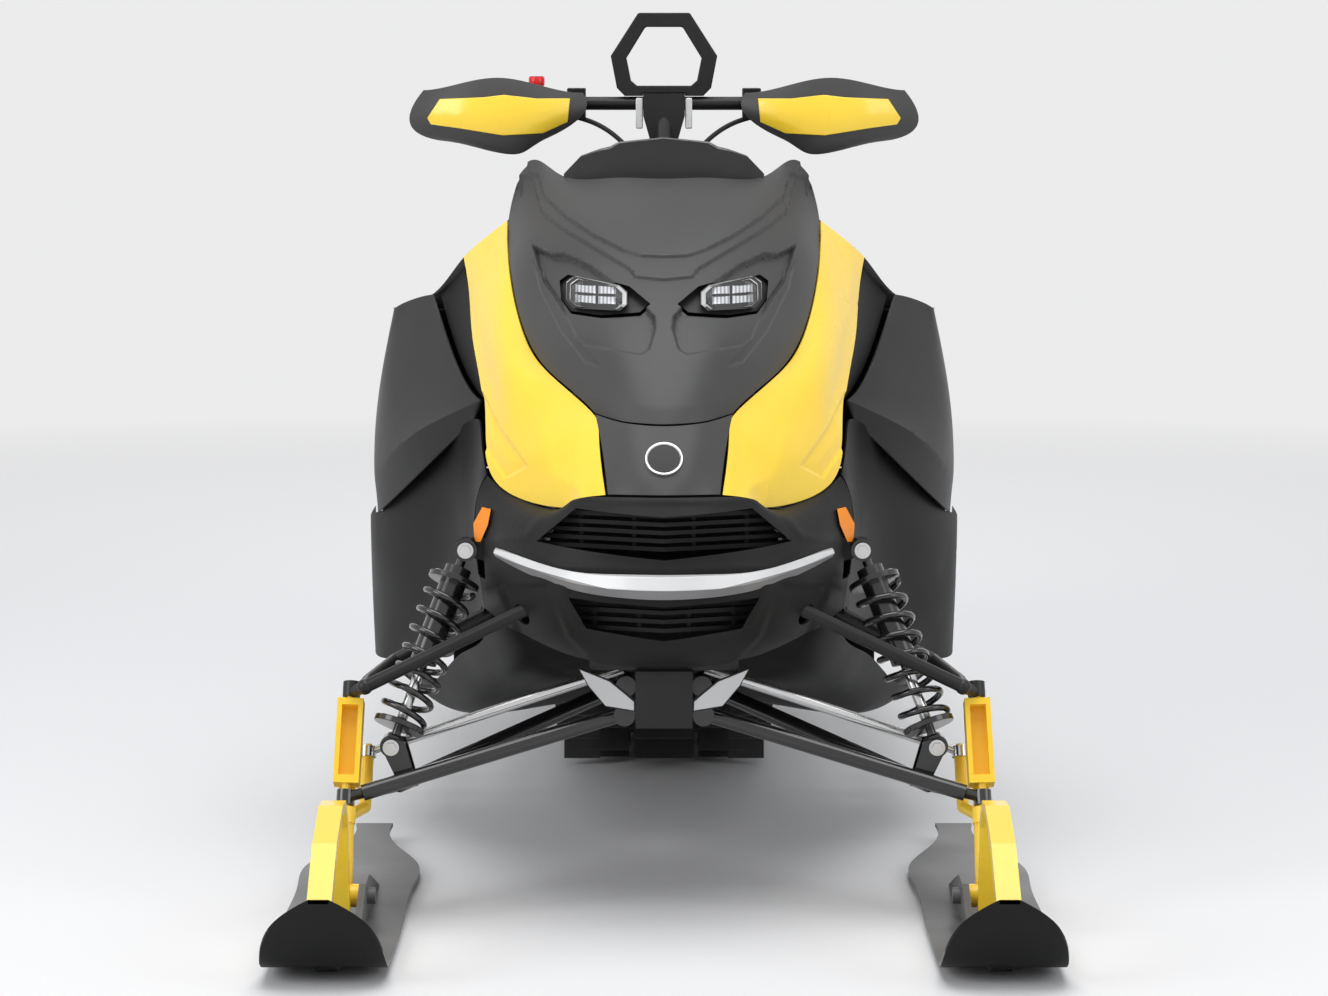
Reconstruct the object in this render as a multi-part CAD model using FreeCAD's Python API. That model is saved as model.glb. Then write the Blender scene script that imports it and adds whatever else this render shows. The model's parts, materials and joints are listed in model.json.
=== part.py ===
import FreeCAD, Part
import math
import os

# Snowmobile, millimetres. +Z is up and the skis point to -Y, so the rider's left is +X.
# The origin lies on the snow, at the middle of the machine's length and width.

V = FreeCAD.Vector
os.makedirs("parts", exist_ok=True)

# Overall stations along the machine
ski_tip_y = -1550
tunnel_front_y = -560
fit = 0.3

# Track and what carries it
track_width = 381
pitch_wanted = 76.2
belt_thickness = 6
lug_height = 50
lug_thickness = 10
drive_axle_y = -230
drive_axle_z = 375
drive_path_radius = 92
rail_front_y = 290
rail_front_radius = 240
carrier_y = 560
carrier_z = 330
carrier_path_radius = 62
idler_y = 1320
idler_path_radius = 95
axle_radius = 12
wheel_width = 26
bogie_radius = 67
bogie_count = 3
bogie_front_gap = 230
bogie_rear_gap = 220
bogie_pin_radius = 10
rail_gauge = 200
rail_thickness = 14
rail_height = 78
front_arm_low = (430, 110)
front_arm_top = (10, 330)
rear_arm_low = (960, 110)
shock_shaft_z = 300
centre_shaft_y = 150
rear_shaft_y = 700
track_shock_radius = 18

# Tunnel, running boards and tail
tunnel_width = 400
tunnel_sheet = 3
tunnel_top_z = 555
tunnel_bottom_z = 300
board_outer_x = 440
board_front_y = -330
board_rear_y = 1080
board_sheet = 4
flap_sheet = 5
flap_half = 175
flap_reach = 200
tail_overhang = 30
bumper_radius = 10
cargo_y = 1000
cargo_spacing_x = 240
cargo_spacing_y = 360
cargo_hole_radius = 6

# Bodywork
panel_wall = 4
seam = 4
core_y = -450
core_z = 640
lens_depth = 3
bowl_depth = 16
bowl_thickness = 30
slat_height = 6

# Seat and tank
tank_front_y = -360
tank_half = 135
seat_front_y = -60
seat_rear_y = 660
seat_width = 280
seat_top_z = 800

# Front frame, arms and shocks
keel_half = 42
frame_half = 110
lower_pivot_z = 304
upper_pivot_z = 500
front_pivot_y = -1030
rear_pivot_y = -760
upper_front_y = -1060
upper_rear_y = -860
arm_tube_radius = 12
bush_radius = 16
shock_top = (297, -930, 536)
shock_low = (403, -1035, 257)
shock_radius = 20
shock_pin_radius = 8
shock_eye_width = 30
spring_radius = 34
spring_wire = 5
spring_turns = 7
coil_steps = 14

# Spindles, tie rods and skis
stance = 940
ski_width = 175
ski_rear_y = -478
ski_bolt_y = -1130
ski_bolt_z = 50
ski_bolt_radius = 7
ski_plate = 6
cheek_inner = 26
upper_ball = (464, -1010, 335)
lower_ball = (470, -1075, 182)
kingpin_radius = 6
tie_rod_radius = 8
tie_rod_end = (443, -972, 235)
tie_rod_inner = (62, -968, 361)
tie_pin_radius = 5

# Handlebar
bar_y = -300
bar_z = 1191
bar_radius = 11
bar_half = 400
grip_radius = 17
grip_length = 134
bar_end = 4
housing_gap = 10
housing_width = 66
post_radius = 14
post_low = (0, -400, 940)
post_hole_radius = 42
strap_bar = 26
hose_radius = 4

ski_x = stance / 2
grip_start = bar_half - bar_end - grip_length
bar_bend = grip_start - housing_gap - 2
housing_inner = grip_start - housing_gap - housing_width
stay_x = housing_inner + 40
belt_inner_z = belt_thickness + lug_height
belt_half = track_width / 2
rail_x = rail_gauge / 2
tunnel_x = tunnel_width / 2
idler_z = belt_inner_z + idler_path_radius
bogie_z = belt_inner_z + bogie_radius + fit
bogie_first_y = rail_front_y + bogie_front_gap
bogie_step = (idler_y - bogie_rear_gap - bogie_first_y) / (bogie_count - 1)
bogie_y = [bogie_first_y + i * bogie_step for i in range(bogie_count)]
tunnel_rear_y = idler_y + tail_overhang


def point(p):
    return V(p[0], p[1], p[2])


def along(a, b, share):
    return tuple(a[i] + share * (b[i] - a[i]) for i in range(3))


def box(x0, x1, y0, y1, z0, z1):
    return Part.makeBox(x1 - x0, y1 - y0, z1 - z0, V(x0, y0, z0))


def rod(start, end, radius):
    a = point(start)
    b = point(end)
    return Part.makeCylinder(radius, a.distanceToPoint(b), a, b.sub(a))


def shaft(y, z, half_length, radius):
    """A round bar across the machine."""
    return rod((-half_length, y, z), (half_length, y, z), radius)


def ball(centre, radius):
    return Part.makeSphere(radius, point(centre))


def tube_run(points, radius):
    """A bent bar: straight runs with a ball in each bend."""
    bar = rod(points[0], points[1], radius)
    for i in range(1, len(points) - 1):
        bar = bar.fuse(ball(points[i], radius)).fuse(rod(points[i], points[i + 1], radius))
    return bar


def outline_face(points):
    wire = Part.makePolygon([point(p) for p in points] + [point(points[0])])
    return Part.Face(wire)


def slab_x(outline, x0, x1):
    """A plate with its outline in Y and Z, from x0 to x1."""
    return outline_face([(x0, y, z) for y, z in outline]).extrude(V(x1 - x0, 0, 0))


def slab_y(outline, y0, y1):
    """A plate with its outline in X and Z, from y0 to y1."""
    return outline_face([(x, y0, z) for x, z in outline]).extrude(V(0, y1 - y0, 0))


def slab_z(outline, z0, z1):
    """A plate with its outline in X and Y, from z0 to z1."""
    return outline_face([(x, y, z0) for x, y in outline]).extrude(V(0, 0, z1 - z0))


def largest(shape):
    return max(shape.Solids, key=lambda solid: solid.Volume)


def mirrored(shape):
    return shape.mirror(V(0, 0, 0), V(1, 0, 0))


def spacing(lines):
    """Running length along a set of lines, averaged, which all of them then share."""
    marks = [0.0]
    for j in range(1, len(lines[0])):
        step = sum(line[j].distanceToPoint(line[j - 1]) for line in lines) / len(lines)
        marks.append(marks[-1] + step)
    return marks


def smooth_curve(points, marks):
    curve = Part.BSplineCurve()
    curve.interpolate(Points=list(points), Parameters=marks)
    return curve


def smooth_face(rows, across_marks, along_marks):
    across = [smooth_curve(row, across_marks) for row in rows]
    pole_rows = [curve.getPoles() for curve in across]
    along = [smooth_curve([row[j] for row in pole_rows], along_marks) for j in range(len(pole_rows[0]))]
    surface = Part.BSplineSurface()
    surface.buildFromPolesMultsKnots(
        [curve.getPoles() for curve in along],
        across[0].getMultiplicities(), along[0].getMultiplicities(),
        across[0].getKnots(), along[0].getKnots(),
        False, False, across[0].Degree, along[0].Degree)
    return surface.toShape()


def solid_from(faces):
    shell = Part.makeShell(faces)
    shell.sewShape()
    solid = Part.makeSolid(shell)
    if solid.Volume < 0:
        solid.reverse()
    return solid


def edge_strip(outer, inner, marks):
    return Part.makeRuledSurface(smooth_curve(outer, marks).toShape(), smooth_curve(inner, marks).toShape())


def between(outer, inner, folds=()):
    """The solid between two grids of points, smooth but for a crease along each row in folds."""
    across = spacing(outer)
    stops = [0, *folds, len(outer) - 1]
    faces = [edge_strip(outer[i], inner[i], across) for i in (0, -1)]
    for a, b in zip(stops, stops[1:]):
        run = spacing(list(zip(*outer[a:b + 1])))
        faces += [smooth_face(grid[a:b + 1], across, run) for grid in (outer, inner)]
        for side in (0, -1):
            faces.append(edge_strip([row[side] for row in outer[a:b + 1]], [row[side] for row in inner[a:b + 1]], run))
    return solid_from(faces)


def toward_core(p, depth):
    step = V(0, core_y, core_z).sub(p)
    step.normalize()
    return p.add(step.multiply(depth))


def drawn_in(line):
    """A line of points whose two ends are drawn in by half a seam."""
    result = list(line)
    for end, beside in ((0, 1), (-1, -2)):
        step = line[beside].sub(line[end])
        step.normalize()
        result[end] = line[end].add(step.multiply(seam / 2))
    return result


def layer(rows, near, far, folds=()):
    """The solid between two depths under a body surface that is given by rows of outer points."""
    grid = [drawn_in([point(p) for p in row]) for row in rows]
    columns = [drawn_in(column) for column in zip(*grid)]
    grid = list(zip(*columns))
    outer = [[toward_core(p, near) for p in row] for row in grid]
    inner = [[toward_core(p, far) for p in row] for row in grid]
    return between(outer, inner, folds)


def panel(rows, folds=(), sunk=0):
    """A body panel whose wall grows towards the machine's core."""
    return layer(rows, sunk, sunk + panel_wall, folds)


def full_rows(half_rows):
    """Rows given from the middle to +X, made whole by reflection."""
    return [[(-x, y, z) for x, y, z in reversed(row[1:])] + list(row) for row in half_rows]


def save(name, *solids):
    shape = solids[0] if len(solids) == 1 else Part.makeCompound(list(solids))
    shape.exportStep("parts/" + name + ".step")


def save_both(name, shape):
    """One node that holds a piece drawn on the +X side and its reflection."""
    save(name, shape, mirrored(shape))


def save_pair(name, shape):
    """Two nodes: a piece drawn on the +X side, the rider's left, and its reflection."""
    save(name + "_left", shape)
    save(name + "_right", mirrored(shape))


# Track loop

def tangent_run(a, b):
    """The straight belt run outside two round guides, given as (y, z, radius), going clockwise."""
    dy = b[0] - a[0]
    dz = b[1] - a[1]
    turn = math.atan2(dz, dy) + math.acos((a[2] - b[2]) / math.hypot(dy, dz))
    side = (math.cos(turn), math.sin(turn))
    start = (a[0] + a[2] * side[0], a[1] + a[2] * side[1])
    end = (b[0] + b[2] * side[0], b[1] + b[2] * side[1])
    return start, end, turn


def loop_pieces():
    """Runs and arcs of the belt's inner face, over the top to the rear and back along the snow."""
    guides = [
        (drive_axle_y, drive_axle_z, drive_path_radius),
        (carrier_y, carrier_z, carrier_path_radius),
        (idler_y, idler_z, idler_path_radius),
        (rail_front_y, belt_inner_z + rail_front_radius, rail_front_radius),
    ]
    pieces = []
    runs = [tangent_run(guides[i], guides[(i + 1) % 4]) for i in range(4)]
    for i in range(4):
        start, end, turn = runs[i]
        pieces.append(("run", start, end, turn))
        sweep = (turn - runs[(i + 1) % 4][2]) % (2 * math.pi)
        pieces.append(("arc", guides[(i + 1) % 4], turn, sweep))
    return pieces


def piece_length(piece):
    if piece[0] == "run":
        return math.dist(piece[1], piece[2])
    return piece[1][2] * piece[3]


def loop_point(pieces, distance):
    """The point of the belt's inner face at a distance along it, and the outward direction there."""
    for piece in pieces:
        length = piece_length(piece)
        if distance > length:
            distance -= length
            continue
        if piece[0] == "run":
            share = distance / length
            y = piece[1][0] + share * (piece[2][0] - piece[1][0])
            z = piece[1][1] + share * (piece[2][1] - piece[1][1])
            return y, z, math.cos(piece[3]), math.sin(piece[3])
        guide = piece[1]
        angle = piece[2] - distance / guide[2]
        return (guide[0] + guide[2] * math.cos(angle), guide[1] + guide[2] * math.sin(angle),
                math.cos(angle), math.sin(angle))
    return loop_point(pieces, 0)


def facet_sag(radius):
    """How far a straight belt facet of one pitch dips inside a round guide."""
    return radius - math.sqrt(radius ** 2 - (pitch_wanted / 2) ** 2)


def wheel_radius(path_radius):
    return path_radius - facet_sag(path_radius) - fit


def make_track():
    pieces = loop_pieces()
    total = sum(piece_length(piece) for piece in pieces)
    rows = round(total / pitch_wanted)
    pitch = total / rows
    inner = []
    outer = []
    for i in range(rows):
        y, z, ny, nz = loop_point(pieces, i * pitch)
        inner.append((y, z))
        outer.append((y + ny * belt_thickness, z + nz * belt_thickness))
    belt = slab_x(outer, -belt_half, belt_half).cut(slab_x(inner, -belt_half - 1, belt_half + 1))
    lugs = []
    lug_bands = [[(-0.94, -0.6), (-0.28, 0.28), (0.6, 0.94)], [(-0.75, -0.33), (0.33, 0.75)]]
    for i in range(rows):
        a = outer[i]
        b = outer[(i + 1) % rows]
        run = math.dist(a, b)
        ty = (b[0] - a[0]) / run
        tz = (b[1] - a[1]) / run
        my = (a[0] + b[0]) / 2
        mz = (a[1] + b[1]) / 2
        half = lug_thickness / 2
        foot = [(my - ty * half, mz - tz * half), (my + ty * half, mz + tz * half)]
        tip = [(y - tz * lug_height, z + ty * lug_height) for y, z in reversed(foot)]
        for low, high in lug_bands[i % 2]:
            lugs.append(slab_x(foot + tip, low * belt_half, high * belt_half))
    return belt.fuse(lugs)


save("track", make_track())


def wheels_on(axle, y, z, radius, wheel_centres):
    for x in wheel_centres:
        axle = axle.fuse(rod((x - wheel_width / 2, y, z), (x + wheel_width / 2, y, z), radius))
    return axle


inside_tunnel = tunnel_x - tunnel_sheet - fit
drive = shaft(drive_axle_y, drive_axle_z, inside_tunnel, axle_radius + 4)
save("drive_axle", wheels_on(drive, drive_axle_y, drive_axle_z, wheel_radius(drive_path_radius), (-120, -45, 45, 120)))
rear = shaft(idler_y, idler_z, 160, axle_radius)
save("rear_axle", wheels_on(rear, idler_y, idler_z, wheel_radius(idler_path_radius), (-145, -50, 50, 145)))


# Slide rails with their cross shafts, wheels and arms

def rail_outline():
    low = belt_inner_z + fit
    radius = wheel_radius(rail_front_radius)
    centre_z = belt_inner_z + rail_front_radius
    nose = [(rail_front_y - radius * math.sin(math.radians(a)), centre_z - radius * math.cos(math.radians(a)))
            for a in (44, 33, 22, 11, 0)]
    heel = [(rail_front_y + pitch_wanted, low), (idler_y - pitch_wanted - 20, low), (idler_y + 20, low + 60),
            (idler_y + 20, idler_z + 24), (idler_y - 40, idler_z + 24), (idler_y - 130, low + rail_height)]
    return nose + heel + [(rail_front_y + 30, low + rail_height), (rail_front_y - 90, low + rail_height + 30)]


rail = slab_x(rail_outline(), rail_x - rail_thickness / 2, rail_x + rail_thickness / 2)
for y, z in (front_arm_low, rear_arm_low, (idler_y, idler_z)):
    rail = rail.cut(shaft(y, z, tunnel_x, axle_radius + fit))
for y in bogie_y:
    rail = rail.cut(shaft(y, bogie_z, tunnel_x, bogie_pin_radius + fit))
save_both("slide_rails", rail)

bogies = []
for y in bogie_y:
    pin = rod((rail_x - rail_thickness, y, bogie_z), (rail_x + 42, y, bogie_z), bogie_pin_radius)
    wheel = pin.fuse(rod((rail_x + 14, y, bogie_z), (rail_x + 14 + wheel_width, y, bogie_z), bogie_radius))
    bogies += [wheel, mirrored(wheel)]
save("bogie_wheels", *bogies)


def swing_arm(top, low, arm_x):
    arm = shaft(top[0], top[1], inside_tunnel, axle_radius + 2).fuse(shaft(low[0], low[1], rail_x + 14, axle_radius))
    for x in (-arm_x, arm_x):
        past_low = along((x,) + top, (x,) + low, 1.01)
        arm = arm.fuse(rod((x,) + top, past_low, axle_radius + 1))
    return arm


save("rear_suspension_front_arm", swing_arm(front_arm_top, front_arm_low, 60))
rear_arm = swing_arm((carrier_y, carrier_z), rear_arm_low, 70)
save("rear_suspension_rear_arm", wheels_on(rear_arm, carrier_y, carrier_z, wheel_radius(carrier_path_radius), (-130, 130)))


def shock_body(low, top, radius, pin_axis, eye_width, low_pin, top_pin):
    """A damper with an eye at each end, turning on pins of the given radii along pin_axis."""
    body = rod(low, top, radius * 0.35).fuse(rod(along(low, top, 0.42), along(low, top, 0.9), radius))
    axis = point(pin_axis)
    for centre, pin_radius in ((low, low_pin), (top, top_pin)):
        middle = point(centre)
        eye = rod(tuple(middle.sub(axis * (eye_width / 2))), tuple(middle.add(axis * (eye_width / 2))), pin_radius + 9)
        body = body.fuse(eye)
    for centre, pin_radius in ((low, low_pin), (top, top_pin)):
        middle = point(centre)
        body = body.cut(rod(tuple(middle.sub(axis * 100)), tuple(middle.add(axis * 100)), pin_radius + fit))
    return body


across = (1, 0, 0)
centre_shock, rear_shock = [
    shock_body((0,) + arm_low, (0, shaft_y, shock_shaft_z), track_shock_radius, across, shock_eye_width,
               axle_radius, axle_radius)
    for arm_low, shaft_y in ((front_arm_low, centre_shaft_y), (rear_arm_low, rear_shaft_y))]
save("track_shocks", centre_shock, rear_shock)
save("shock_shafts", shaft(centre_shaft_y, shock_shaft_z, inside_tunnel, axle_radius),
     shaft(rear_shaft_y, shock_shaft_z, inside_tunnel, axle_radius))


# Tunnel, boards and tail

def make_tunnel():
    side = [(tunnel_front_y, tunnel_bottom_z), (tunnel_front_y, tunnel_top_z), (tunnel_rear_y, tunnel_top_z),
            (tunnel_rear_y, tunnel_bottom_z + 110), (board_rear_y, tunnel_bottom_z)]
    hollow = [(tunnel_front_y - 20, 0), (tunnel_front_y - 20, tunnel_top_z - tunnel_sheet),
              (tunnel_rear_y + 20, tunnel_top_z - tunnel_sheet), (tunnel_rear_y + 20, 0)]
    tunnel = slab_x(side, -tunnel_x, tunnel_x)
    tunnel = tunnel.cut(slab_x(hollow, -tunnel_x + tunnel_sheet, tunnel_x - tunnel_sheet))
    for x in (-cargo_spacing_x / 2, cargo_spacing_x / 2):
        for y in (cargo_y - cargo_spacing_y / 2, cargo_y + cargo_spacing_y / 2):
            tunnel = tunnel.cut(rod((x, y, tunnel_bottom_z), (x, y, 2 * tunnel_top_z), cargo_hole_radius))
    return tunnel


save("tunnel", make_tunnel())


def make_board():
    board = box(tunnel_x, board_outer_x, board_front_y, board_rear_y, tunnel_bottom_z, tunnel_bottom_z + board_sheet)
    lip = box(board_outer_x, board_outer_x + 14, board_front_y, board_rear_y, tunnel_bottom_z - 22,
              tunnel_bottom_z + 14)
    board = board.fuse(lip)
    for i in range(9):
        y = board_front_y + 150 + i * 135
        for x in (tunnel_x + 60, tunnel_x + 150):
            board = board.cut(box(x, x + 62, y, y + 90, tunnel_bottom_z - 5, tunnel_bottom_z + 10))
    return board


save_both("running_boards", make_board())

flap_line = [(tunnel_rear_y + flap_sheet + fit, tunnel_top_z), (tunnel_rear_y + 90, 500), (tunnel_rear_y + 165, 370),
             (tunnel_rear_y + flap_reach, 200)]
flap_rear = [[V(x, y, z) for x in (-flap_half, 0, flap_half)] for y, z in flap_line]
flap_front = [[p.add(V(0, -flap_sheet, -flap_sheet / 3)) for p in row] for row in flap_rear]
save("snow_flap", between(flap_rear, flap_front))

bumper_x = tunnel_x + bumper_radius + fit
half_bumper = [(150, tunnel_rear_y + 150, 560), (bumper_x, tunnel_rear_y + 50, 535), (bumper_x, tunnel_rear_y - 170, 500)]
save("rear_bumper", tube_run([(-x, y, z) for x, y, z in reversed(half_bumper)] + half_bumper, bumper_radius))


# Engine as one block, and the front frame that the arms bolt to

upper_frame_rear = -840
engine_seat_z = 448
save("engine_block", box(-165, 165, upper_frame_rear + fit, -580, engine_seat_z + fit, 740))


def shock_ear():
    """The plate that reaches out of the front frame to the shock's upper pin."""
    x, y, z = shock_top
    half = shock_eye_width / 2
    plate = slab_y([(frame_half - 2, 470), (frame_half - 2, 515), (x - 16, z + 16), (x + 14, z + 12),
                    (x + 14, z - 12), (x - 12, z - 16)], y + half + fit, y + half + 8)
    return plate.fuse(rod((x, y - half - 4, z), (x, y + half + 2, z), shock_pin_radius))


def front_frame():
    rear_y = tunnel_front_y - fit
    keel = slab_x([(-1062, 286), (-1078, 330), (-1070, 372), (rear_y, 372), (rear_y, 262), (-900, 286)],
                  -keel_half, keel_half)
    upper = slab_x([(-1056, 372), (-1066, 470), (-1050, 524), (upper_frame_rear, 524),
                    (upper_frame_rear, engine_seat_z), (rear_y, engine_seat_z), (rear_y, 372)],
                   -frame_half, frame_half)
    slot = box(-frame_half - 20, frame_half + 20, tie_rod_inner[1] - 40, tie_rod_inner[1] + 18, 316, 380)
    bracket = slab_y([(keel_half - 2, 327), (80, 359), (126, 377), (112, 350), (86, 319), (keel_half - 2, 312)],
                     -1068, -1062)
    ear = shock_ear()
    return keel.fuse(upper).cut(slot).fuse([ear, mirrored(ear), bracket, mirrored(bracket)])


save("bulkhead", front_frame())


# Bodywork, given from the middle to +X. Panels that meet share their border points.

visor_top = [(0, -600, 1070), (80, -590, 1071), (156, -550, 1073), (200, -510, 1098), (235, -500, 1067)]
lip = [(0, -1080, 737), (35, -1072, 738), (60, -1058, 740), (82, -1030, 743), (103, -1000, 747)]
hood_side = [(248, -505, 1011), (242, -620, 944), (219, -750, 860), (188, -840, 810), (145, -925, 778)]
nose_side = [(94, -1050, 712), (83, -1130, 639)]
band_outer = [(323, -450, 948), (308, -550, 885), (297, -660, 822), (279, -780, 755), (273, -850, 700)]
shell_top = [(83, -1130, 639), (134, -1100, 630), (152, -1060, 612), (242, -930, 631), (266, -900, 646)]
side_inner = [(371, -450, 890), (348, -500, 828), (321, -560, 770), (286, -622, 733)]
side_outer = [(438, -385, 862), (450, -385, 805), (462, -410, 722), (464, -450, 598)]
side_middle = [(430, -288, 858), (448, -290, 800), (465, -315, 716), (471, -345, 592)]
side_rear = [(400, -190, 848), (430, -200, 790), (455, -230, 705), (470, -250, 585)]

hood_rows = full_rows([
    visor_top,
    [(0, -672, 1040), (85, -658, 1040), (158, -618, 1038), (210, -560, 1035), hood_side[0]],
    [(0, -775, 985), (88, -757, 985), (158, -708, 982), (212, -655, 973), hood_side[1]],
    [(0, -880, 918), (85, -862, 915), (150, -815, 905), (196, -775, 885), hood_side[2]],
    [(0, -950, 866), (80, -935, 862), (135, -895, 850), (170, -862, 832), hood_side[3]],
    [(0, -1020, 803), (62, -1005, 803), (105, -970, 798), (130, -945, 790), hood_side[4]],
    lip,
])
eye_outline = [(36, 889), (20, 902), (52, 926), (101, 937), (150, 944), (163, 934), (159, 905), (142, 886), (95, 883)]
lens_outline = [(56, 900), (56, 916), (68, 926), (136, 936), (148, 926), (148, 902), (138, 892), (66, 892)]


def shrunk(outline, gap):
    """An outline with its points drawn in towards its middle."""
    cx = sum(x for x, z in outline) / len(outline)
    cz = sum(z for x, z in outline) / len(outline)
    result = []
    for x, z in outline:
        reach = math.hypot(x - cx, z - cz)
        result.append((x - (x - cx) * gap / reach, z - (z - cz) * gap / reach))
    return result


eye_cut = slab_y(eye_outline, -1100, -700)
save("hood", panel(hood_rows).cut(eye_cut).cut(mirrored(eye_cut)))

bowl = layer(hood_rows, bowl_depth, bowl_depth + bowl_thickness).common(slab_y(shrunk(eye_outline, fit), -1100, -700))
lens = layer(hood_rows, lens_depth, bowl_depth + 2).common(slab_y(lens_outline, -1100, -700))
save_both("headlights", bowl.fuse(lens))

fairing_lines = [
    [hood_side[0], hood_side[1], hood_side[2], hood_side[3], hood_side[4], lip[-1], nose_side[0], nose_side[1]],
    [(275, -492, 990), (266, -620, 915), (248, -765, 838), (222, -860, 790), (193, -930, 745), (160, -1002, 712),
     (118, -1060, 685), (103, -1122, 636)],
    [(302, -472, 968), (290, -610, 880), (272, -748, 800), (253, -842, 745), (236, -918, 692), (205, -978, 668),
     (142, -1065, 652), (120, -1112, 633)],
    [band_outer[0], band_outer[1], band_outer[2], band_outer[3], band_outer[4], (250, -928, 633), shell_top[2],
     shell_top[1]],
]
nose_cover_rows = full_rows([
    lip,
    [(0, -1115, 690), (35, -1108, 698), (58, -1092, 704), (78, -1070, 708), nose_side[0]],
    [(0, -1150, 640), (30, -1147, 640), (50, -1143, 640), (68, -1138, 640), nose_side[1]],
])
save("nose_cover", panel(nose_cover_rows))
fairing = panel(fairing_lines, folds=(2,))
for neighbour_rows in (hood_rows, nose_cover_rows):
    fairing = fairing.cut(layer(neighbour_rows, -1, panel_wall + 1))
save_both("fairing_panels", largest(fairing))

shell_rows = full_rows([
    [(0, -1150, 640)] + shell_top,
    [(0, -1186, 578), (95, -1168, 578), (165, -1125, 576), (205, -1075, 580), (262, -960, 590), (284, -915, 592)],
    [(0, -1194, 530), (95, -1178, 530), (168, -1138, 532), (212, -1082, 538), (262, -975, 545), (282, -926, 547)],
    [(0, -1188, 480), (92, -1174, 482), (165, -1134, 486), (210, -1080, 494), (258, -985, 500), (278, -930, 503)],
    [(0, -1160, 430), (88, -1146, 432), (158, -1110, 438), (204, -1062, 448), (250, -988, 462), (274, -932, 468)],
    [(0, -1100, 382), (80, -1088, 384), (145, -1058, 394), (196, -1030, 412), (244, -985, 434), (270, -930, 445)],
])
upper_hole = [(-128, 620), (0, 612), (128, 620), (186, 570), (0, 552), (-186, 570)]
lower_hole = [(-138, 494), (0, 484), (138, 494), (112, 448), (0, 432), (-112, 448)]
nose_shell = panel(shell_rows)
for hole in (upper_hole, lower_hole):
    nose_shell = nose_shell.cut(slab_y(hole, -1300, -1000))
front_run_end = (442, -1042, 345)
rear_bend = (405, -925, 367)
ear_clearance = box(226, 330, shock_top[1] - 30, shock_top[1] + 34, 494, 574)
passages = [ear_clearance, rod((frame_half, upper_front_y, upper_pivot_z), front_run_end, arm_tube_radius + 5),
            rod((frame_half, upper_rear_y, upper_pivot_z), rear_bend, arm_tube_radius + 5)]
for passage in passages:
    nose_shell = nose_shell.cut(passage).cut(mirrored(passage))
save("nose_shell", nose_shell)


def grille(z_low, z_high, half_low, half_high, count, y, sweep):
    """V-shaped slats joined by upright ribs behind them, their ends swept back."""
    bars = []
    for i in range(count):
        share = (i + 0.5) / count
        z = z_low + share * (z_high - z_low)
        half = half_low + share * (half_high - half_low)
        back = half * sweep
        bars.append(slab_z([(-half, y + back), (0, y), (half, y + back), (half, y + back + 16),
                            (0, y + 18), (-half, y + back + 16)], z - slat_height / 2, z + slat_height / 2))
    ribs = []
    for share in (-0.7, -0.25, 0.25, 0.7):
        x = (half_low + half_high) / 2 * share
        back = abs(x) * sweep
        ribs.append(box(x - 3, x + 3, y + back + 10, y + back + 22, z_low, z_high))
    return bars[0].fuse(bars[1:] + ribs)


shell_space = layer(shell_rows, -2 * panel_wall, panel_wall + fit)
save("upper_grille", largest(grille(558, 618, 196, 148, 5, -1160, 0.42).cut(shell_space)))
save("lower_grille", largest(grille(440, 492, 132, 156, 4, -1166, 0.4).cut(shell_space)))

bumper_top = [(0, -1222, 532), (60, -1208, 532), (117, -1178, 532), (185, -1122, 541), (249, -1030, 548)]
bumper_mid = [(0, -1228, 514), (60, -1214, 514), (117, -1184, 516), (185, -1128, 529), (252, -1028, 543)]
bumper_low = [(0, -1220, 499), (60, -1206, 500), (117, -1176, 504), (185, -1120, 518), (249, -1026, 537)]
bumper_front = [[point(p) for p in row] for row in full_rows([bumper_top, bumper_mid, bumper_low])]
bumper_back = [[p.add(V(0, 60, 0)) for p in row] for row in bumper_front]
bumper_bar = between(bumper_front, bumper_back, folds=(1,)).cut(layer(shell_rows, -fit, 80))
save("front_bumper", min(bumper_bar.Solids, key=lambda piece: piece.CenterOfMass.y))

marker_outline = [(258, 600), (272, 600), (290, 566), (282, 548), (274, 550), (262, 578)]
marker = layer(shell_rows, -5, -fit).common(slab_y(marker_outline, -1000, -880))
save_both("side_markers", largest(marker))

vent_rows = [
    [(326, -448, 940), (345, -448, 916), (367, -448, 890)],
    [(311, -550, 880), (329, -528, 855), (346, -500, 828)],
    [(300, -658, 820), (309, -612, 796), (319, -560, 770)],
    [(283, -770, 758), (283, -700, 745), (284, -622, 733)],
]
save_both("vent_panels", panel(vent_rows, sunk=8))

side_rows = [
    [side_inner[0], (395, -432, 884), (420, -410, 874), side_outer[0], side_middle[0], side_rear[0]],
    [side_inner[1], (385, -480, 820), (425, -440, 812), side_outer[1], side_middle[1], side_rear[1]],
    [side_inner[2], (372, -535, 755), (425, -490, 735), side_outer[2], side_middle[2], side_rear[2]],
    [side_inner[3], (345, -612, 706), (402, -580, 670), side_outer[3], side_middle[3], side_rear[3]],
    [(300, -622, 697), (330, -612, 668), (368, -592, 630), (446, -475, 549), (468, -372, 525), (476, -262, 508)],
]
save_both("side_panels", panel(side_rows, folds=(3,)))

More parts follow.
